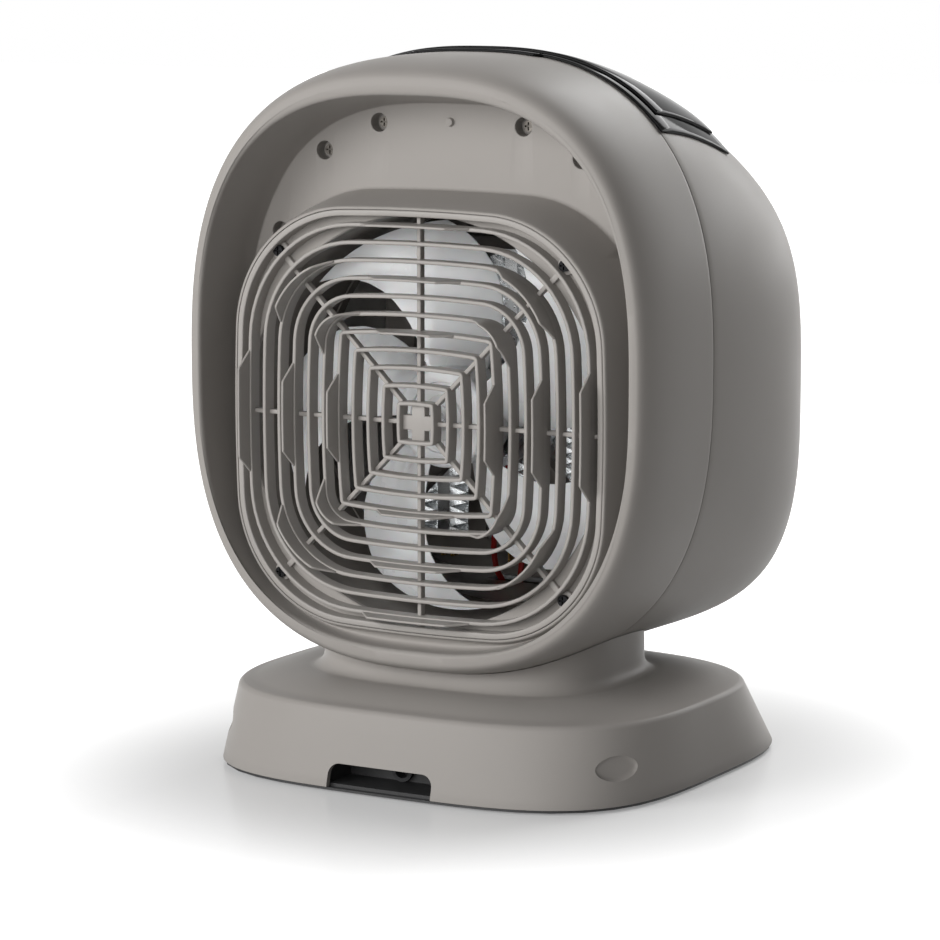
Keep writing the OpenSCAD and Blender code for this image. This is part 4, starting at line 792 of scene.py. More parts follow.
class HEATER_OT_rear_shell(PieceOperator):
    """Rear shell: skin, rolled rim, recess, drum and grille seat"""
    bl_idname = "heater.rear_shell"
    bl_label = "Rear shell"

    def execute(self, context):
        size = sizes()
        skin = Skin(size)
        rings = self.outside(skin, size)
        shoulder, *lip = self.lip(size)
        rings += self.shallow_below(self.recess_and_drum(size), rings[-1], shoulder, size)
        rings += [shoulder] + lip + self.inside(skin, size)
        shell = new_object("Rear_shell", sections(rings, True))
        places = [(side * x, z) for side in (-1, 1) for x, z in SHELL_SCREWS]
        carve(shell, [self.well_mouth(x, z, size) for x, z in places])
        parts = [self.well(x, z, size) for x, z in places] + [self.locating_pin(size["recess_floor"])]
        parts += [self.boss(x, z, size) for x in (-1, 1) for z in (-1, 1)]
        wells = new_object("Shell_wells", gather(parts))
        stand_for(shell, "shell", "upper", "rear_shell")
        stand_for(wells, "shell", "upper")
        return {"FINISHED"}

    def outside(self, skin, size):
        """Sections from the seam's groove along the skin and over the rim's soft crest."""
        seam, rim = size["seam"], size["rim"]
        half, top, low = size["recess_half"], size["recess_top"], size["recess_low"]
        rings = skin.seam_edge(1)
        rings += [skin.ring(mix(seam, rim, t)) for t in
                  (0.04, 0.1, 0.2, 0.3, 0.4, 0.5, 0.58, 0.66, 0.73, 0.79, 0.84, 0.88, 0.915, 0.94,
                   0.96, 0.975, 0.986, 0.994, 1.0)]
        crest = [(1.2, 0.02), (0.85, 0.2), (0.5, 0.55), (0.2, 1.1), (0.05, 1.9), (0.0, 3.0)]
        return rings + [upright(rim - back, half + out * 0.9, top + out * 3.0, low - out * 1.4,
                                RECESS_SQUARENESS) for out, back in crest]

    def lip(self, size):
        """Sections of the drum's lip: its shoulder, its rounded edge and the grille's seat."""
        face, height = size["rib_face"] - LIP_BACK, size["intake_height"]
        edge = [(-1.6, 0.5), (-0.6, 0.2), (-0.15, -0.1), (0, -0.45), (-0.05, -0.9)]
        rings = [drum_ring(face + back, LIP_HALF + out, height) for back, out in edge]
        return rings + [drum_ring(y, FRAME_HALF + 0.15, height) for y in (face - 0.4, grille_seat(size))]

    def inside(self, skin, size):
        """Sections of the air intake and of the shell's hidden inner side, back to the seam."""
        seam, rim, wall = size["seam"], size["rim"], size["shell_wall"]
        half, top, low = size["recess_half"], size["recess_top"], size["recess_low"]
        seat, height, behind = grille_seat(size), size["intake_height"], size["recess_floor"] - wall
        return [round_ring(seat, INTAKE_RADIUS + 0.5, height),
                round_ring(seat - 0.5, INTAKE_RADIUS, height),
                round_ring(seat - 2.5, INTAKE_RADIUS, height),
                drum_ring(seat - 2.5, DRUM_HALF - 4.6, height),
                drum_ring(behind, DRUM_HALF - 2, height),
                upright(behind, half + 1.6, top + 1, low - 1, RECESS_SQUARENESS),
                upright(rim - 7, half + 1.9, top + 2.2, low - 1.9, RECESS_SQUARENESS),
                skin.ring(rim - 7, wall - 0.6), skin.ring(mix(seam, rim, 0.55), wall),
                skin.ring(seam + 0.02, wall)]

    def recess_and_drum(self, size):
        """Sections from the recess's mouth down its wall, through the small fillet at its foot
        and up the drum. The wall leans in most along the top and least along the sides."""
        floor, height = size["recess_floor"], size["intake_height"]
        start = size["rim"] - 3
        above = climbing(1, 0.1, 0.5)

        def wall(y, into=0.0):
            share = (start - y) / (start - floor)
            steep, slanted = [upright(y, size["recess_half"] - into - share * lean,
                                      size["recess_top"] - into - share * lean,
                                      size["recess_low"] + into + share * lean, RECESS_SQUARENESS)
                              for lean in RECESS_LEANS]
            return mix(steep, slanted, above)

        rings = [wall(mix(start, floor + RECESS_FILLET, t)) for t in (0.25, 0.5, 0.75, 1.0)]
        rings += [wall(floor + RECESS_FILLET * (1 - s), RECESS_FILLET * (1 - c))
                  for c, s in quarter_arc(4, 1)]
        rings += [drum_ring(floor + DRUM_FOOT * (1 - c), DRUM_HALF + DRUM_FOOT * (1 - s), height)
                  for c, s in quarter_arc(4)]
        return rings + [drum_ring(floor + 14, DRUM_HALF - 1.8, height),
                        drum_ring(size["rib_face"] - 5.3, FRAME_HALF + 2.55, height)]

    def shallow_below(self, rings, start, end, size):
        """Draws the sections together into a shallow groove along the foot of the body, where
        the drum meets the recess wall."""
        near = climbing(-1, 0.3, 0.55)
        near = near * near * (3 - 2 * near)
        bottom = start.copy()
        bottom[:, 1] = size["rib_face"] - GROOVE_BACK
        drawn = []
        for i, ring in enumerate(rings):
            t = (i + 1) / (len(rings) + 1)
            shallow = mix(mix(start, bottom, t), mix(bottom, end, t), t)
            drawn.append(mix(ring, shallow, near))
        return drawn

    def well_mouth(self, x, z, size):
        """The shape that opens a well in the recess floor, flared to round its edge."""
        floor, radius = size["recess_floor"], size["well_radius"]
        flares = [(-5, 0), (-0.4, 0), (-0.12, 0.1), (0.01, 0.4), (3, 0.4)]
        return capped([round_ring(floor + y, radius + flare, z, x, 40) for y, flare in flares])

    def well(self, x, z, size):
        """A blind screw well: a tube with a floor that has the screw's hole."""
        mouth, radius = size["recess_floor"] - 0.3, size["well_radius"]
        bottom = size["recess_floor"] - size["well_depth"]
        outer = radius + 1.3
        profile = [(outer, mouth), (radius, mouth), (radius - 0.02, bottom + 0.3),
                   (radius - 0.3, bottom), (SCREW_HOLE + 0.05, bottom), (SCREW_HOLE, bottom - 6),
                   (outer, bottom - 6), (outer, mouth)]
        return turned(profile, "Y", (x, 0, z))

    def locating_pin(self, floor):
        """The small round pin above the middle of the drum."""
        profile = [(0, floor + 1.6), (1.2, floor + 1.6), (1.55, floor + 1.5), (1.7, floor + 1.2),
                   (1.75, floor + 0.2), (2.0, floor - 0.2)]
        return turned(profile, "Y", (0, 0, PIN_HEIGHT))

    def boss(self, x, z, size):
        """A screw boss behind a corner of the grille."""
        seat = grille_seat(size)
        profile = [(SCREW_HOLE, seat - 0.1), (4.2, seat - 2.6), (4.4, seat - 10),
                   (SCREW_HOLE, seat - 10), (SCREW_HOLE, seat - 0.1)]
        return turned(profile, "Y", (x * GRILLE_SCREW, 0, size["intake_height"] + z * GRILLE_SCREW))


# Depths of the front shell's sections, closer together where the skin turns in to the face
DOME_DEPTHS = (16, 10, 4, -3, -10, -18, -26, -34, -42, -50, -57, -63.5, -69, -74, -78, -81.5, -84.5,
               -87, -89, -90.7, -92.2, -93.4, -94.3, -95, -95.5, -95.8, -95.95)


class HEATER_OT_front_shell(PieceOperator):
    """Front shell: the sloping dome with the outlet's opening"""
    bl_idname = "heater.front_shell"
    bl_label = "Front shell"

    def execute(self, context):
        size = sizes()
        skin = Skin(size)
        face, wall = size["face"], size["shell_wall"]
        half, middle = size["outlet"], size["intake_height"]
        rings = skin.seam_edge(-1) + [skin.ring(y) for y in DOME_DEPTHS]
        rings += [upright(face + back, half + grow, middle + half + grow, middle - half - grow,
                          OUTLET_SQUARENESS)
                  for back, grow in ((0, 1.4), (0.35, 0.5), (1.2, 0.15), (8, 0.15), (8, 2.6), (4.1, 4))]
        rings += [skin.ring(mix(skin.side_start, face, t), inset) for t, inset in
                  ((0.935, wall - 0.7), (0.82, wall - 0.7), (0.68, wall - 0.7), (0.43, wall), (0, wall))]
        rings.append(skin.ring(size["seam"] - 0.02, wall))
        shell = new_object("Front_shell", sections(rings, True))
        stand_for(shell, "shell", "upper", "front_shell")
        return {"FINISHED"}


# The inner ribs, up to this one, are squares with small corners, and the outer ones are round
SQUARE_RIBS = 5
RIB_COUNT = 11
# Half size of the first rib's square over the pitch, less 1
FIRST_RIB = 0.228
# Width of the frame ring round the ribs
FRAME_WIDE = 2.5


def rib_half(k, size):
    """Half size of ring k of the intake."""
    return (k + FIRST_RIB) * size["rib_pitch"]


def rib_corner(k):
    """Corner radius of ring k of the intake."""
    return 0.8 + 0.35 * k if k <= SQUARE_RIBS else 14 + 7.4 * (k - SQUARE_RIBS - 1)


def bar_profile(wide, deep, edge):
    """A rounded bar's section as (across, along) pairs: flat at the front end and rounded at
    the rear end."""
    points = [(0.0, 0.0), (0.0, deep - edge)]
    points += [(edge * (1 - c), deep - edge + edge * s) for c, s in quarter_arc(3, 1)]
    points += [(wide - edge + edge * s, deep - edge + edge * c) for c, s in quarter_arc(3)]
    return points + [(wide, 0.0)]


def outward(path):
    """Unit normals of a closed outline, pointing out."""
    path = np.asarray(path)
    along = np.roll(path, -1, 0) - np.roll(path, 1, 0)
    along /= np.linalg.norm(along, axis=1)[:, None]
    return np.stack([along[:, 1], -along[:, 0]], 1)


# The raised fins as (rib, half length): on the four sides, and on the four corners
AXIS_FINS = [(5, 18.5), (8, 21.5), (11, 25.5)]
DIAGONAL_FINS = [(6, 13.0), (9, 19.0)]
# The spokes' width, how far they stay behind the ribs' rear edges, and the reach of the upright
# and level ones
SPOKE_WIDE = 1.8
SPOKE_BACK = 3.2
SPOKE_REACH = 84.5
# Radius on the rear edges of the spokes and of the screw eyes' arms
BAR_EDGE = 0.4


class HEATER_OT_intake_grille(PieceOperator):
    """Intake grille: ribs, raised fins, spokes, cross boss and screw eyes"""
    bl_idname = "heater.intake_grille"
    bl_label = "Intake grille"

    def execute(self, context):
        size = sizes()
        parts = []
        for k in range(1, RIB_COUNT + 1):
            steps = (26, 14) if k > SQUARE_RIBS else (12, 4)
            parts.append(self.rib(soft_square(rib_half(k, size), rib_corner(k), *steps),
                                  size["rib_wall"], size))
        parts.append(self.rib(frame_line(FRAME_HALF), FRAME_WIDE, size))
        parts += self.spokes(size)
        for fins, turn in ((AXIS_FINS, 0), (DIAGONAL_FINS, 0.5)):
            parts += [self.fin(k, half, quarter + turn, size) for k, half in fins for quarter in range(4)]
        for x in (-1, 1):
            for z in (-1, 1):
                parts += self.screw_eye(x, z, size)
        parts.append(self.cross(size))
        grille = new_object("Intake_grille", lifted(gather(parts), size["intake_height"]), 50)
        stand_for(grille, "grille", "upper", "rear_grille")
        return {"FINISHED"}

    def rib(self, outline, wide, size):
        """A rib swept round a closed outline, with rounded rear edges."""
        path = np.asarray(outline)
        normal = outward(path)
        seat = grille_seat(size)
        return sections([[(x, seat + along, z) for x, z in path - normal * across] for across, along
                         in bar_profile(wide, size["rib_depth"], size["rib_edge"])], True)

    def fin(self, k, half, turn, size):
        """A raised fin on rib k, so many quarter turns round: its rear edge climbs a slope, runs
        level and falls again."""
        line = np.asarray(soft_square(rib_half(k, size), rib_corner(k), 160, 60))
        c, s = compass(turn)
        side = -line[:, 0] * s + line[:, 1] * c
        ahead = line[:, 0] * c + line[:, 1] * s
        inside = np.where((np.abs(side) <= half) & (ahead > 0))[0]
        order = inside[np.argsort(side[inside])]
        wide, edge, sunk = size["rib_wall"] * 0.65, 0.45, 1.0
        rings = []
        for point, along, out in zip(line[order], side[order], outward(line)[order]):
            rise = size["fin_rise"] * min(1.0, max(0.02, (half - abs(along)) / size["fin_slope"]))
            ring = []
            for across, up in bar_profile(wide, rise + sunk, edge):
                x, z = point - out * (across - 0.02)
                ring.append((x, size["rib_face"] - sunk + up, z))
            rings.append(ring)
        return capped(rings)

    def bar(self, line, inner, outer, wide, front, rear):
        """A straight bar with rounded rear edges, along a line out of the middle."""
        along = np.array(line) / np.linalg.norm(line)
        out = np.array([along[1], -along[0]])
        rings = []
        for reach in (inner, outer):
            ring = []
            for across, up in bar_profile(wide, rear - front, BAR_EDGE):
                x, z = reach * along - out * (across - wide / 2)
                ring.append((x, front + up, z))
            rings.append(ring)
        return capped(rings)

    def spokes(self, size):
        """Upright, level and slanting spokes, set back from the ribs' rear edges."""
        seat, rear = grille_seat(size), size["rib_face"] - SPOKE_BACK
        lines = [(0, 0, SPOKE_REACH), (0.5, rib_half(1, size) * 1.3, INTAKE_RADIUS)]
        return [self.bar(compass(turn + slant), inner, outer, SPOKE_WIDE, seat, rear)
                for turn in range(4) for slant, inner, outer in lines]

    def screw_eye(self, x, z, size):
        """A corner eye for a screw on its short arm."""
        seat, outer = grille_seat(size), 3.9
        rear = seat + 2.0
        profile = [(SCREW_HOLE, seat), (SCREW_HOLE, rear - 0.2), (SCREW_HOLE + 0.2, rear),
                   (outer - 0.4, rear), (outer, rear - 0.4), (outer, seat), (SCREW_HOLE, seat)]
        eye = turned(profile, "Y", (x * GRILLE_SCREW, 0, z * GRILLE_SCREW))
        inner = rib_half(RIB_COUNT - 1, size) * 1.14
        return [eye, self.bar((x, z), inner, inner + 9.5, 2.4, seat, rear)]

    def cross(self, size):
        """The plus-shaped boss in the middle."""
        rear = size["rib_face"] - 2.6
        arm, half = 7.2, 3.0
        outline = four_ways([(arm, -half), (arm, half), (half, half)])
        heights = [(0, grille_seat(size)), (0, rear - 0.35), (0.1, rear - 0.1), (0.35, rear)]
        return capped([[(x - math.copysign(shrink, x), y, z - math.copysign(shrink, z))
                        for x, z in outline] for shrink, y in heights])


class HEATER_OT_outlet_grille(PieceOperator):
    """Outlet grille in the front face, with rounded bars"""
    bl_idname = "heater.outlet_grille"
    bl_label = "Outlet grille"

    def execute(self, context):
        dress("grille", "outlet_grille")
        rounded(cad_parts["outlet_grille"], 0.35, 50)
        return {"FINISHED"}


class HEATER_OT_control_panel(PieceOperator):
    """Touch panel: a gloss strip over the top with its tongue, and the raised lens"""
    bl_idname = "heater.control_panel"
    bl_label = "Control panel"

    def execute(self, context):
        skin = Skin(sizes())
        seam = skin.size["seam"]
        panel = self.strip(skin, "Control_panel", 44.3, (-38, seam), (0.25, 1.28), 0.5,
                           (75.0, seam + 3.2))
        stand_for(panel, "panel", "upper", "control_panel")
        lens = self.strip(skin, "Panel_lens", 48.2, (-33, seam - 5), (1.35, 2.46), 0.7)
        stand_for(lens, "panel", "upper", "panel_lens")
        return {"FINISHED"}

    def strip(self, skin, name, edge, reach, lift, bevel, tongue=None):
        """A strip laid on the skin from one edge's direction, in degrees from level, to the same
        on the other side, with rounded edges. The reach is its front and rear depth, and the lift
        is where its two faces are over the skin. The tongue is the direction of its side and the
        depth that it reaches."""
        (front, back), (low, high) = reach, lift
        steps, slope = 120, 0.6
        curl = [0.35 * (1 - math.cos(a)) for a in (0.4, 0.8, 1.2)]
        falls = [(high - low) * share for share in (0.45, 0.2, 0.05)]
        columns = [edge + turn for turn in curl]
        columns += [mix(edge, 180 - edge, i / steps) for i in range(1, steps)]
        columns += [180 - edge - turn for turn in reversed(curl)]
        rings = []
        for number, angle in enumerate(columns):
            rear = back
            if tongue and abs(angle - 90) < 90 - tongue[0] + slope:
                rear = mix(back, tongue[1], min(1.0, (90 - tongue[0] + slope - abs(angle - 90)) / slope))
            from_end = min(number, len(columns) - 1 - number)
            crown = high - (falls[from_end] if from_end < len(falls) else 0.0)
            ring = [(front, low), (front, high - bevel), (front + bevel * 0.3, high - bevel * 0.3),
                    (front + bevel, crown)]
            ring += [(mix(front, rear, t), crown) for t in (0.12, 0.25, 0.4, 0.55, 0.7, 0.85)]
            ring += [(rear - bevel, crown), (rear - bevel * 0.3, high - bevel * 0.3),
                     (rear, high - bevel), (rear, low), (mix(rear, front, 0.33), low),
                     (mix(rear, front, 0.66), low)]
            rings.append([skin.point(math.radians(angle), y, max(low, up)) for y, up in ring])
        return new_object(name, capped(rings), 32)


# The fan: its number of blades, and the depths of a blade's rear and front edge at the hub
BLADES = 5
BLADE_REAR = 48
BLADE_FRONT = 28.5


class HEATER_OT_fan(PieceOperator):
    """Fan: five swept blades on a cup hub, with the motor behind it"""
    bl_idname = "heater.fan"
    bl_label = "Fan"

    def execute(self, context):
        size = sizes()
        parts = [self.blade(size, -number * 360 / BLADES) for number in range(BLADES)]
        parts.append(self.hub(size))
        fan = new_object("Fan_impeller", lifted(gather(parts), size["intake_height"]), 40)
        stand_for(fan, "fan", "fan_rotor", "fan_impeller")
        dress("steel", "motor_shaft", "fan_motor")
        return {"FINISHED"}

    def blade(self, size, turn):
        """One blade: sections from the hub to the tip, bowed and swept."""
        spans = (0, 0.06, 0.14, 0.24, 0.34, 0.44, 0.54, 0.64, 0.74, 0.82, 0.89, 0.94, 0.975, 1.0)
        steps = 22
        around = [(1, i) for i in range(steps + 1)] + [(-1, i) for i in range(steps, -1, -1)]
        return capped([[self.blade_point(size, s, i / steps, side, turn) for side, i in around]
                       for s in spans])

    def blade_point(self, size, s, c, side, turn):
        """A point at share s from hub to tip and share c across the blade."""
        r = mix(size["hub_radius"] - 1.5, size["fan_radius"], s)
        lead = 71 - 8 * s - 22 * s ** 3
        trail = 118 - 6 * s - 27 * s ** 3
        a = math.radians(mix(lead, trail, c) + turn)
        w = math.sin(math.pi * c)
        y = mix(BLADE_REAR - 1.5 * s, BLADE_FRONT + 4 * s, c) + 2.4 * w
        thick = size["blade"] * (0.16 + 0.34 * w ** 0.35) * (1 - 0.25 * s)
        return (r * math.cos(a), y + side * thick, r * math.sin(a))

    def hub(self, size):
        """The cup hub with a rounded rear face, a raised ring and the shaft's seat."""
        r = size["hub_radius"]
        profile = [(2.02, 49.3), (2.4, 50.3), (4.4, 50.5), (5, 50.1), (5.2, 49.4), (9, 49.0), (9.5, 48.3),
                   (14.5, 48.3), (15, 49.0), (r - 2.2, 49.0), (r - 0.9, 48.6), (r - 0.2, 47.6),
                   (r, 46.2), (r, 27.3), (r - 0.3, 27), (r - 2, 27), (r - 2, 45.6), (r - 3, 46.2),
                   (5, 46.2), (5, 29), (2.02, 29), (2.02, 49.3)]
        return turned(profile, "Y", (0, 0, 0), 96)


class HEATER_OT_air_path(PieceOperator):
    """Fan housing, motor bracket and the sheet duct"""
    bl_idname = "heater.air_path"
    bl_label = "Air path"

    def execute(self, context):
        dress("housing", "fan_housing", "motor_bracket")
        dress("duct", "air_duct")
        rounded(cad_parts["motor_bracket"], 0.4)
        return {"FINISHED"}


class HEATER_OT_heater_block(PieceOperator):
    """Heater block: frame, bars, corrugated fins, terminals and thermostat"""
    bl_idname = "heater.heater_block"
    bl_label = "Heater block"

    def execute(self, context):
        dress("housing", "heater_frame")
        dress("fins", "heater_bars", "heater_fins")
        dress("brass", "heater_terminals")
        dress("natural", "thermal_cutout")
        return {"FINISHED"}


class HEATER_OT_wiring(PieceOperator):
    """Leads, circuit boards and their parts"""
    bl_idname = "heater.wiring"
    bl_label = "Wiring"

    def execute(self, context):
        dress("lead", "heater_leads")
        dress("board", "control_board", "power_board")
        dress("trim", "board_parts")
        dress("rubber", "cord_gland")
        return {"FINISHED"}


class HEATER_OT_fasteners(PieceOperator):
    """Screws of the shells, the grille, the bracket, the boards and the base"""
    bl_idname = "heater.fasteners"
    bl_label = "Fasteners"

    def execute(self, context):
        # The grille screws' near-black stands partly for painted shade in their holes
        dress("screw", "grille_screws", "bracket_screws", "board_screws", "neck_screws", "tray_screws",
              "stepper_screws", "gear_screws")
        dress("grey_screw", "shell_screws")
        return {"FINISHED"}


class Base:
    """Sections of the base cover. Half sizes are across and along Y."""
    wall = 2.5
    # Heights of the skirt's foot and edge, and how far the top is crowned above it
    foot, edge, crown = 2.0, 34.0, 5.6
    # Half sizes of the skirt at its foot and edge, of the crowned top's edge and of its middle
    foot_half, edge_half = (103.5, 100.5), (101, 85)
    crown_half, middle_half, neck_half = (97, 81), (71, 53.4), (66, 48.4)
    # Middles of the skirt's edge and of the neck, along Y
    edge_y, neck_y = 8, 14

    def __init__(self, size):
        self.skin = Skin(size)

    def skirt(self, z, inset=0.0):
        """A section of the leaning skirt."""
        t = (z - self.foot) / (self.edge - self.foot)
        across, along = [mix(low, high, t) - inset for low, high in zip(self.foot_half, self.edge_half)]
        return level(z, across, along, mix(0, self.edge_y, t),
                     mix(BASE_SQUARENESS, BASE_TOP_SQUARENESS, t))

    def crown_ring(self, s, drop=0.0):
        """A section of the crowned top, from its edge (0) to the foot of the neck (1)."""
        across, along = [mix(outer, inner, s) for outer, inner in zip(self.crown_half, self.middle_half)]
        return level(self.edge + 0.4 + self.crown * math.sin(math.pi / 2 * s) * 0.98 - drop,
                     across, along, mix(self.edge_y, self.neck_y, s), BASE_TOP_SQUARENESS)

    def neck(self, z, grow):
        """A section of the neck."""
        across, along = [half + grow for half in self.neck_half]
        return level(z, across, along, self.neck_y, NECK_SQUARENESS)

    def neck_top(self, grow):
        """The neck's upper edge, which follows the body's underside."""
        ring = self.neck(0, grow)
        for point in ring:
            point[2] = self.skin.under(point[0], point[1]) - 0.3
        return ring


# The cord notch: half width, height and corner radius, and the depths that it runs between
NOTCH = (24.5, 12.0, 5.0)
NOTCH_REACH = (88, 112)
# The dimples: centre on the +X side, half length and half height, lean and turn in degrees
DIMPLE_AT = (92.2, 68, 17)
DIMPLE_HALF = (10.5, 5)
DIMPLE_LEAN = 9
DIMPLE_TURN = 30
# The floor in the neck: heights of its two faces
SOCKET_FLOOR = (36, 38.6)
# The tube on that floor: place along Y, top, outer and inner radius
TUBE_Y = -3
TUBE_TOP = 56
TUBE_OUTER = 20.6
TUBE_INNER = 16.6


class HEATER_OT_base_cover(PieceOperator):
    """Base cover: leaning skirt, crowned top, neck, cord notch and dimples"""
    bl_idname = "heater.base_cover"
    bl_label = "Base cover"

    def execute(self, context):
        size = sizes()
        cover = new_object("Base_cover", sections(self.rings(Base(size), size["skirt_edge"]), True))
        carve(cover, [self.notch()] + [self.dimple(side) for side in (-1, 1)], 30)
        stand_for(cover, "shell", "upper", "base_cover")
        inner = new_object("Neck_socket", self.socket())
        stand_for(inner, "shell", "upper")
        return {"FINISHED"}

    def rings(self, base, radius):
        """Sections up the skirt, round its edge, over the crowned top, up the neck and back down
        the inner side."""
        foot, edge, wall = base.foot, base.edge, base.wall
        neck_foot = edge + base.crown + 0.4
        bend = edge - 2.6 * radius
        rings = [base.skirt(foot, 0.5), base.skirt(foot + 0.15, 0.15)]
        rings += [base.skirt(z) for z in (foot + 0.5, 7, 13, 19, 25, bend)]
        rings += [base.skirt(mix(bend, edge - 0.25, t), drop * radius)
                  for t, drop in ((0.25, 0.07), (0.5, 0.28), (0.75, 0.62), (1.0, 1.15))]
        rings.append(base.skirt(edge + 0.12, 1.9 * radius))
        rings += [base.crown_ring(s) for s in (0.0, 0.12, 0.25, 0.4, 0.55, 0.7, 0.85, 0.95)]
        fillet = [(4.6, -0.12), (3.6, 0.22), (2.7, 0.72), (1.9, 1.4), (1.25, 2.2), (0.7, 3.15),
                  (0.3, 4.3), (0.08, 5.6)]
        rings += [base.neck(neck_foot + up, out) for out, up in fillet]
        return rings + [base.neck_top(0), base.neck_top(-wall), base.neck(neck_foot + 0.2, -wall),
                        base.neck(neck_foot - 3.5, -2.3), base.crown_ring(0.7, 2.8),
                        base.crown_ring(0.2, 2.8), base.skirt(edge - 5, wall), base.skirt(14, wall),
                        base.skirt(foot, wall)]

    def notch(self):
        """The cord notch as a closed shape: a round-cornered arch along Y."""
        half, top, corner = NOTCH
        arc = [(half - corner + corner * c, top - corner + corner * s) for c, s in quarter_arc(8)]
        outline = [(-half, -2), (half, -2)] + arc + [(-x, z) for x, z in reversed(arc)]
        return capped([[(x, y, z) for x, z in outline] for y in NOTCH_REACH])

    def dimple(self, side):
        """An oval dimple at a rear corner: a shallow cup with a flat bottom."""
        turn = DIMPLE_TURN if side > 0 else 180 - DIMPLE_TURN
        spin = (Matrix.Rotation(math.radians(turn), 3, "Z")
                @ Matrix.Rotation(math.radians(-DIMPLE_LEAN), 3, "Y"))
        x, y, z = DIMPLE_AT
        centre = Vector((side * x, y, z))
        long, tall = DIMPLE_HALF
        cup = [(-3.4, -1.7), (-2.2, -1.65), (-1.3, -1.4), (-0.7, -1.0), (-0.2, -0.45), (0.1, 0.05),
               (0.5, 0.5), (0.6, 5)]
        return capped([[tuple(centre + spin @ Vector((out, (long + grow) * math.cos(a),
                                                      (tall + grow) * math.sin(a))))
                        for a in turns(64)] for grow, out in cup])

    def socket(self):
        """The closed floor inside the neck with its tube, hidden under the body."""
        across, along = [half - 1 for half in Base.neck_half]
        plate = [level(z, across, along, Base.neck_y, NECK_SQUARENESS, 96) for z in SOCKET_FLOOR]
        foot = SOCKET_FLOOR[0]
        tube = turned([(TUBE_OUTER, foot + 2.5), (TUBE_OUTER, TUBE_TOP), (TUBE_INNER, TUBE_TOP),
                       (TUBE_INNER, foot), (TUBE_OUTER, foot), (TUBE_OUTER, foot + 2.5)],
                      "Z", (0, TUBE_Y, 0))
        return gather([capped(plate), tube])


class HEATER_OT_base_underside(PieceOperator):
    """Tray under the base"""
    bl_idname = "heater.base_underside"
    bl_label = "Base underside"

    def execute(self, context):
        dress("trim", "base_tray")
        rounded(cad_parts["base_tray"], 0.25)
        return {"FINISHED"}


class HEATER_OT_swing_drive(PieceOperator):
    """Swing motor, pinion and fixed gear"""
    bl_idname = "heater.swing_drive"
    bl_label = "Swing drive"

    def execute(self, context):
        dress("steel", "stepper_motor", "pinion_shaft")
        dress("natural", "drive_pinion", "fixed_gear")
        return {"FINISHED"}


class HEATER_OT_tip_switch(PieceOperator):
    """Tip-over switch with its plunger and a wound spring"""
    bl_idname = "heater.tip_switch"
    bl_label = "Tip-over switch"

    def execute(self, context):
        dress("trim", "tip_switch")
        dress("natural", "tip_plunger")
        low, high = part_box("plunger_spring")
        centre = (low + high) / 2
        wire = 0.3 * MM
        radius = (high.x - low.x) / 2 - wire - 0.05 * MM
        coils, steps = 5, 24
        curve = bpy.data.curves.new("Plunger_spring", "CURVE")
        curve.dimensions = "3D"
        curve.bevel_depth = wire
        curve.bevel_resolution = 3
        line = curve.splines.new("POLY")
        line.points.add(coils * steps)
        for i, point in enumerate(line.points):
            a = 2 * math.pi * i / steps
            z = mix(low.z + wire, high.z - wire, i / (coils * steps))
            point.co = (centre.x + radius * math.cos(a), centre.y + radius * math.sin(a), z, 1)
        spring = bpy.data.objects.new("Plunger_spring", curve)
        bpy.context.scene.collection.objects.link(spring)
        stand_for(spring, "steel", "upper", "plunger_spring")
        return {"FINISHED"}


class HEATER_OT_foot(PieceOperator):
    """Foot disc, glide ring and rubber feet"""
    bl_idname = "heater.foot"
    bl_label = "Foot"

    def execute(self, context):
        dress("trim", "foot_disc")
        dress("natural", "glide_ring")
        dress("rubber", "rubber_feet")
        rounded(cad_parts["foot_disc"], 0.3)
        rounded(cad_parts["rubber_feet"], 0.3)
        return {"FINISHED"}


# The lamps' width and their distance from a point over the floor, in metres
LAMP_WIDE = 0.8
LAMP_AWAY = 1.6
LAMP_AIM = (0, 0, 0.15)
# Half size and thickness of the floor, in millimetres
FLOOR_HALF = 6000
FLOOR_THICK = 2


def direction(azimuth, elevation):
    """Unit vector away from the heater: azimuth 0 is before its front face."""
    return Vector((math.sin(azimuth) * math.cos(elevation), -math.cos(azimuth) * math.cos(elevation),
                   math.sin(elevation)))


def rays_that_see(tree):
    """1 for rays from the camera and rays that gloss or glass sends on, 0 for others."""
    path = add_node(tree, "ShaderNodeLightPath")
    seen = path.outputs["Is Camera Ray"]
    for kind in ("Is Glossy Ray", "Is Transmission Ray"):
        either = add_node(tree, "ShaderNodeMath", operation="MAXIMUM")
        tree.links.new(seen, either.inputs[0])
        tree.links.new(path.outputs[kind], either.inputs[1])
        seen = either.outputs["Value"]
    return seen


def white_board_painted_shade(name):
    """Lacquered white board of the floor. For the rays that see it, it glows pure white away from
    the heater. Near the heater its glow is lower, a painted shade round the base on top of the real
    shadow, and it keeps a faint reflection there."""
    material, tree, shader = start_material(name, linear("#c0c0c0"), 0.24, 1.12)
    spot = add_node(tree, "ShaderNodeTexCoord").outputs["Object"]
    vary_roughness(tree, shader, spot, 300, 0.2, 0.28)
    away = add_node(tree, "ShaderNodeVectorMath", {"Vector": spot}, operation="LENGTH")
    # Painted shade: the glow is lower near the heater, which darkens the floor round the base
    painted_shade_fade = add_node(tree, "ShaderNodeMapRange", {"Value": away.outputs["Value"]},
                    interpolation_type="SMOOTHSTEP", From_Min=0.1, From_Max=0.3, To_Min=0.22, To_Max=1.0)
    glow = add_node(tree, "ShaderNodeMath", {"Value": painted_shade_fade.outputs["Result"]}, operation="MULTIPLY")
    tree.links.new(rays_that_see(tree), glow.inputs[1])
    shader.inputs["Emission Color"].default_value = (1, 1, 1, 1)
    tree.links.new(glow.outputs["Value"], shader.inputs["Emission Strength"])
    return material


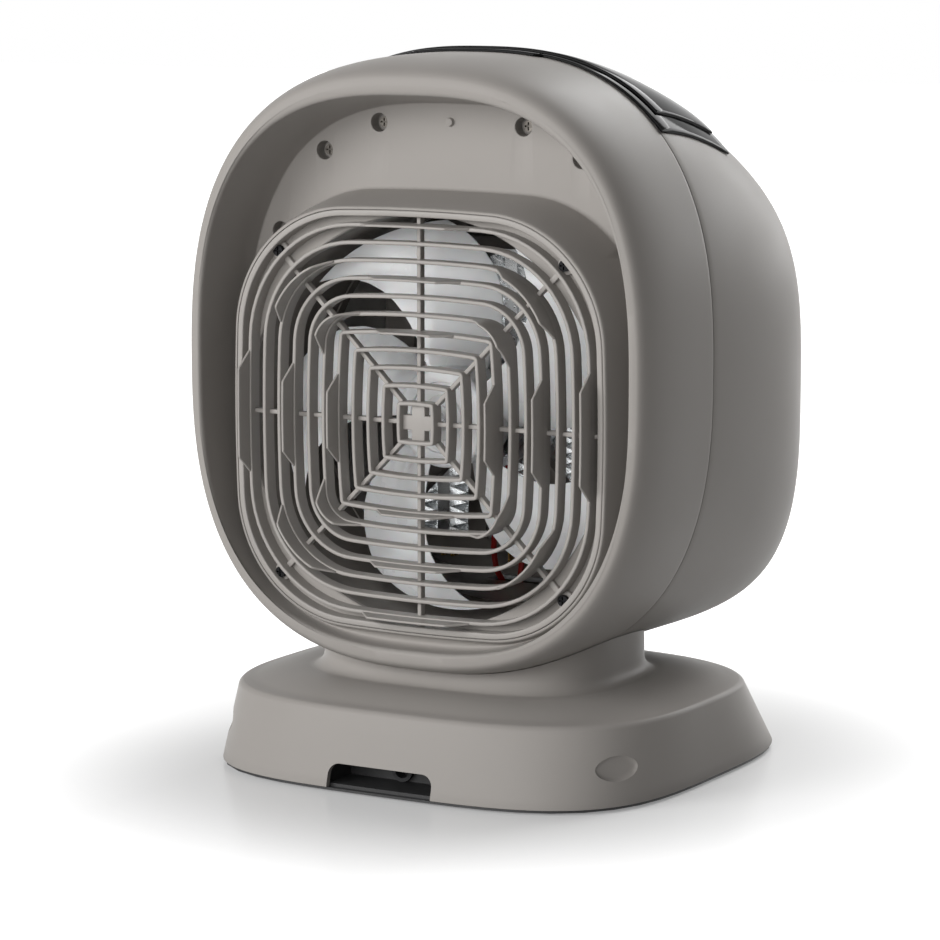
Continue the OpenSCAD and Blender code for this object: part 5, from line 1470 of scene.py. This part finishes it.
class HEATER_OT_stage(PieceOperator):
    """Floor, lights, background and camera"""
    bl_idname = "heater.stage"
    bl_label = "Stage"

    def execute(self, context):
        stage = context.scene.heater_stage
        context.scene.view_settings.view_transform = "Standard"
        self.floor()
        self.world(stage.room_level)
        self.lamp("Key_light", 150, 17, stage.key_power)
        self.lamp("Fill_light", 183, 12, stage.fill_power)
        self.lamp("Back_light", 343, 17, stage.back_power)
        self.lamp("Front_light", 354, 43, stage.front_power)
        self.camera(stage)
        return {"FINISHED"}

    def floor(self):
        """A wide pale floor that keeps the heater's shadow and a faint reflection, with a painted shade
        round the heater.
        """
        corners = [(x * FLOOR_HALF, y * FLOOR_HALF) for x, y in ((-1, -1), (1, -1), (1, 1), (-1, 1))]
        floor = new_object("Floor", capped([[(x, y, z) for x, y in corners] for z in (-FLOOR_THICK, 0)]))
        floor.data.materials.append(white_board_painted_shade("White board, matt lacquered, with painted shade"))

    def world(self, room_level):
        """Even room light, which cameras, gloss and glass see as white."""
        world = bpy.data.worlds.new("Studio")
        bpy.context.scene.world = world
        world.use_nodes = True
        tree = world.node_tree
        tree.nodes.clear()
        strength = add_node(tree, "ShaderNodeMapRange", {"Value": rays_that_see(tree)},
                            To_Min=room_level, To_Max=1.0)
        light = add_node(tree, "ShaderNodeBackground", {"Strength": strength.outputs["Result"]})
        light.inputs["Color"].default_value = (1, 1, 1, 1)
        add_node(tree, "ShaderNodeOutputWorld", {"Surface": light.outputs["Background"]})

    def lamp(self, name, azimuth, elevation, power):
        """A square soft light that faces the heater's middle from a direction in degrees."""
        data = bpy.data.lights.new(name, "AREA")
        data.shape = "SQUARE"
        data.size = LAMP_WIDE
        data.energy = power
        lamp = bpy.data.objects.new(name, data)
        away = direction(math.radians(azimuth), math.radians(elevation))
        lamp.location = Vector(LAMP_AIM) + away * LAMP_AWAY
        lamp.rotation_euler = away.to_track_quat("Z", "Y").to_euler()
        bpy.context.scene.collection.objects.link(lamp)

    def camera(self, stage):
        """The camera at the photograph's place, aimed beside the intake's centre."""
        toward = direction(stage.azimuth, stage.elevation)
        right = Vector((math.cos(stage.azimuth), math.sin(stage.azimuth), 0))
        up = toward.cross(right)
        size = sizes()
        intake = Vector((0, size["rib_face"], size["intake_height"])) * MM
        seen_from = intake + right * stage.aim_right + up * stage.aim_up + toward * stage.distance
        data = bpy.data.cameras.new("Camera")
        data.sensor_width = 36
        data.lens = stage.lens
        data.clip_start = 0.05
        data.clip_end = 50
        camera = bpy.data.objects.new("Camera", data)
        turn = Matrix((right, up, toward)).transposed()
        camera.matrix_world = Matrix.Translation(seen_from) @ turn.to_4x4()
        bpy.context.scene.collection.objects.link(camera)
        bpy.context.scene.camera = camera


PIECES = [HEATER_OT_rear_shell, HEATER_OT_front_shell, HEATER_OT_intake_grille, HEATER_OT_outlet_grille,
          HEATER_OT_control_panel, HEATER_OT_fan, HEATER_OT_air_path, HEATER_OT_heater_block,
          HEATER_OT_wiring, HEATER_OT_fasteners, HEATER_OT_base_cover, HEATER_OT_base_underside,
          HEATER_OT_swing_drive, HEATER_OT_tip_switch, HEATER_OT_foot, HEATER_OT_stage]


class HEATER_PT_panel(bpy.types.Panel):
    """Lists the pieces of the fan heater"""
    bl_idname = "HEATER_PT_panel"
    bl_label = "Fan heater"
    bl_space_type = "VIEW_3D"
    bl_region_type = "UI"
    bl_category = "Fan heater"

    def draw(self, context):
        scene = context.scene
        for group in (scene.heater_sizes, scene.heater_finishes, scene.heater_stage):
            box = self.layout.box()
            for name in group.__annotations__:
                box.prop(group, name)
        for piece in PIECES:
            self.layout.operator(piece.bl_idname)


GROUPS = [HeaterSizes, HeaterFinishes, HeaterStage]


def register():
    """Makes the sizes, finishes, operators and panel known."""
    for kind in GROUPS + PIECES + [HEATER_PT_panel]:
        bpy.utils.register_class(kind)
    bpy.types.Scene.heater_sizes = PointerProperty(type=HeaterSizes)
    bpy.types.Scene.heater_finishes = PointerProperty(type=HeaterFinishes)
    bpy.types.Scene.heater_stage = PointerProperty(type=HeaterStage)


def unregister():
    """Takes them away again."""
    del bpy.types.Scene.heater_stage
    del bpy.types.Scene.heater_finishes
    del bpy.types.Scene.heater_sizes
    for kind in reversed(GROUPS + PIECES + [HEATER_PT_panel]):
        bpy.utils.unregister_class(kind)


def main():
    """Builds the heater and its stage."""
    register()
    bpy.ops.heater.rear_shell()
    bpy.ops.heater.front_shell()
    bpy.ops.heater.intake_grille()
    bpy.ops.heater.outlet_grille()
    bpy.ops.heater.control_panel()
    bpy.ops.heater.fan()
    bpy.ops.heater.air_path()
    bpy.ops.heater.heater_block()
    bpy.ops.heater.wiring()
    bpy.ops.heater.fasteners()
    bpy.ops.heater.base_cover()
    bpy.ops.heater.base_underside()
    bpy.ops.heater.swing_drive()
    bpy.ops.heater.tip_switch()
    bpy.ops.heater.foot()
    bpy.ops.heater.stage()


if __name__ == "__main__":
    main()
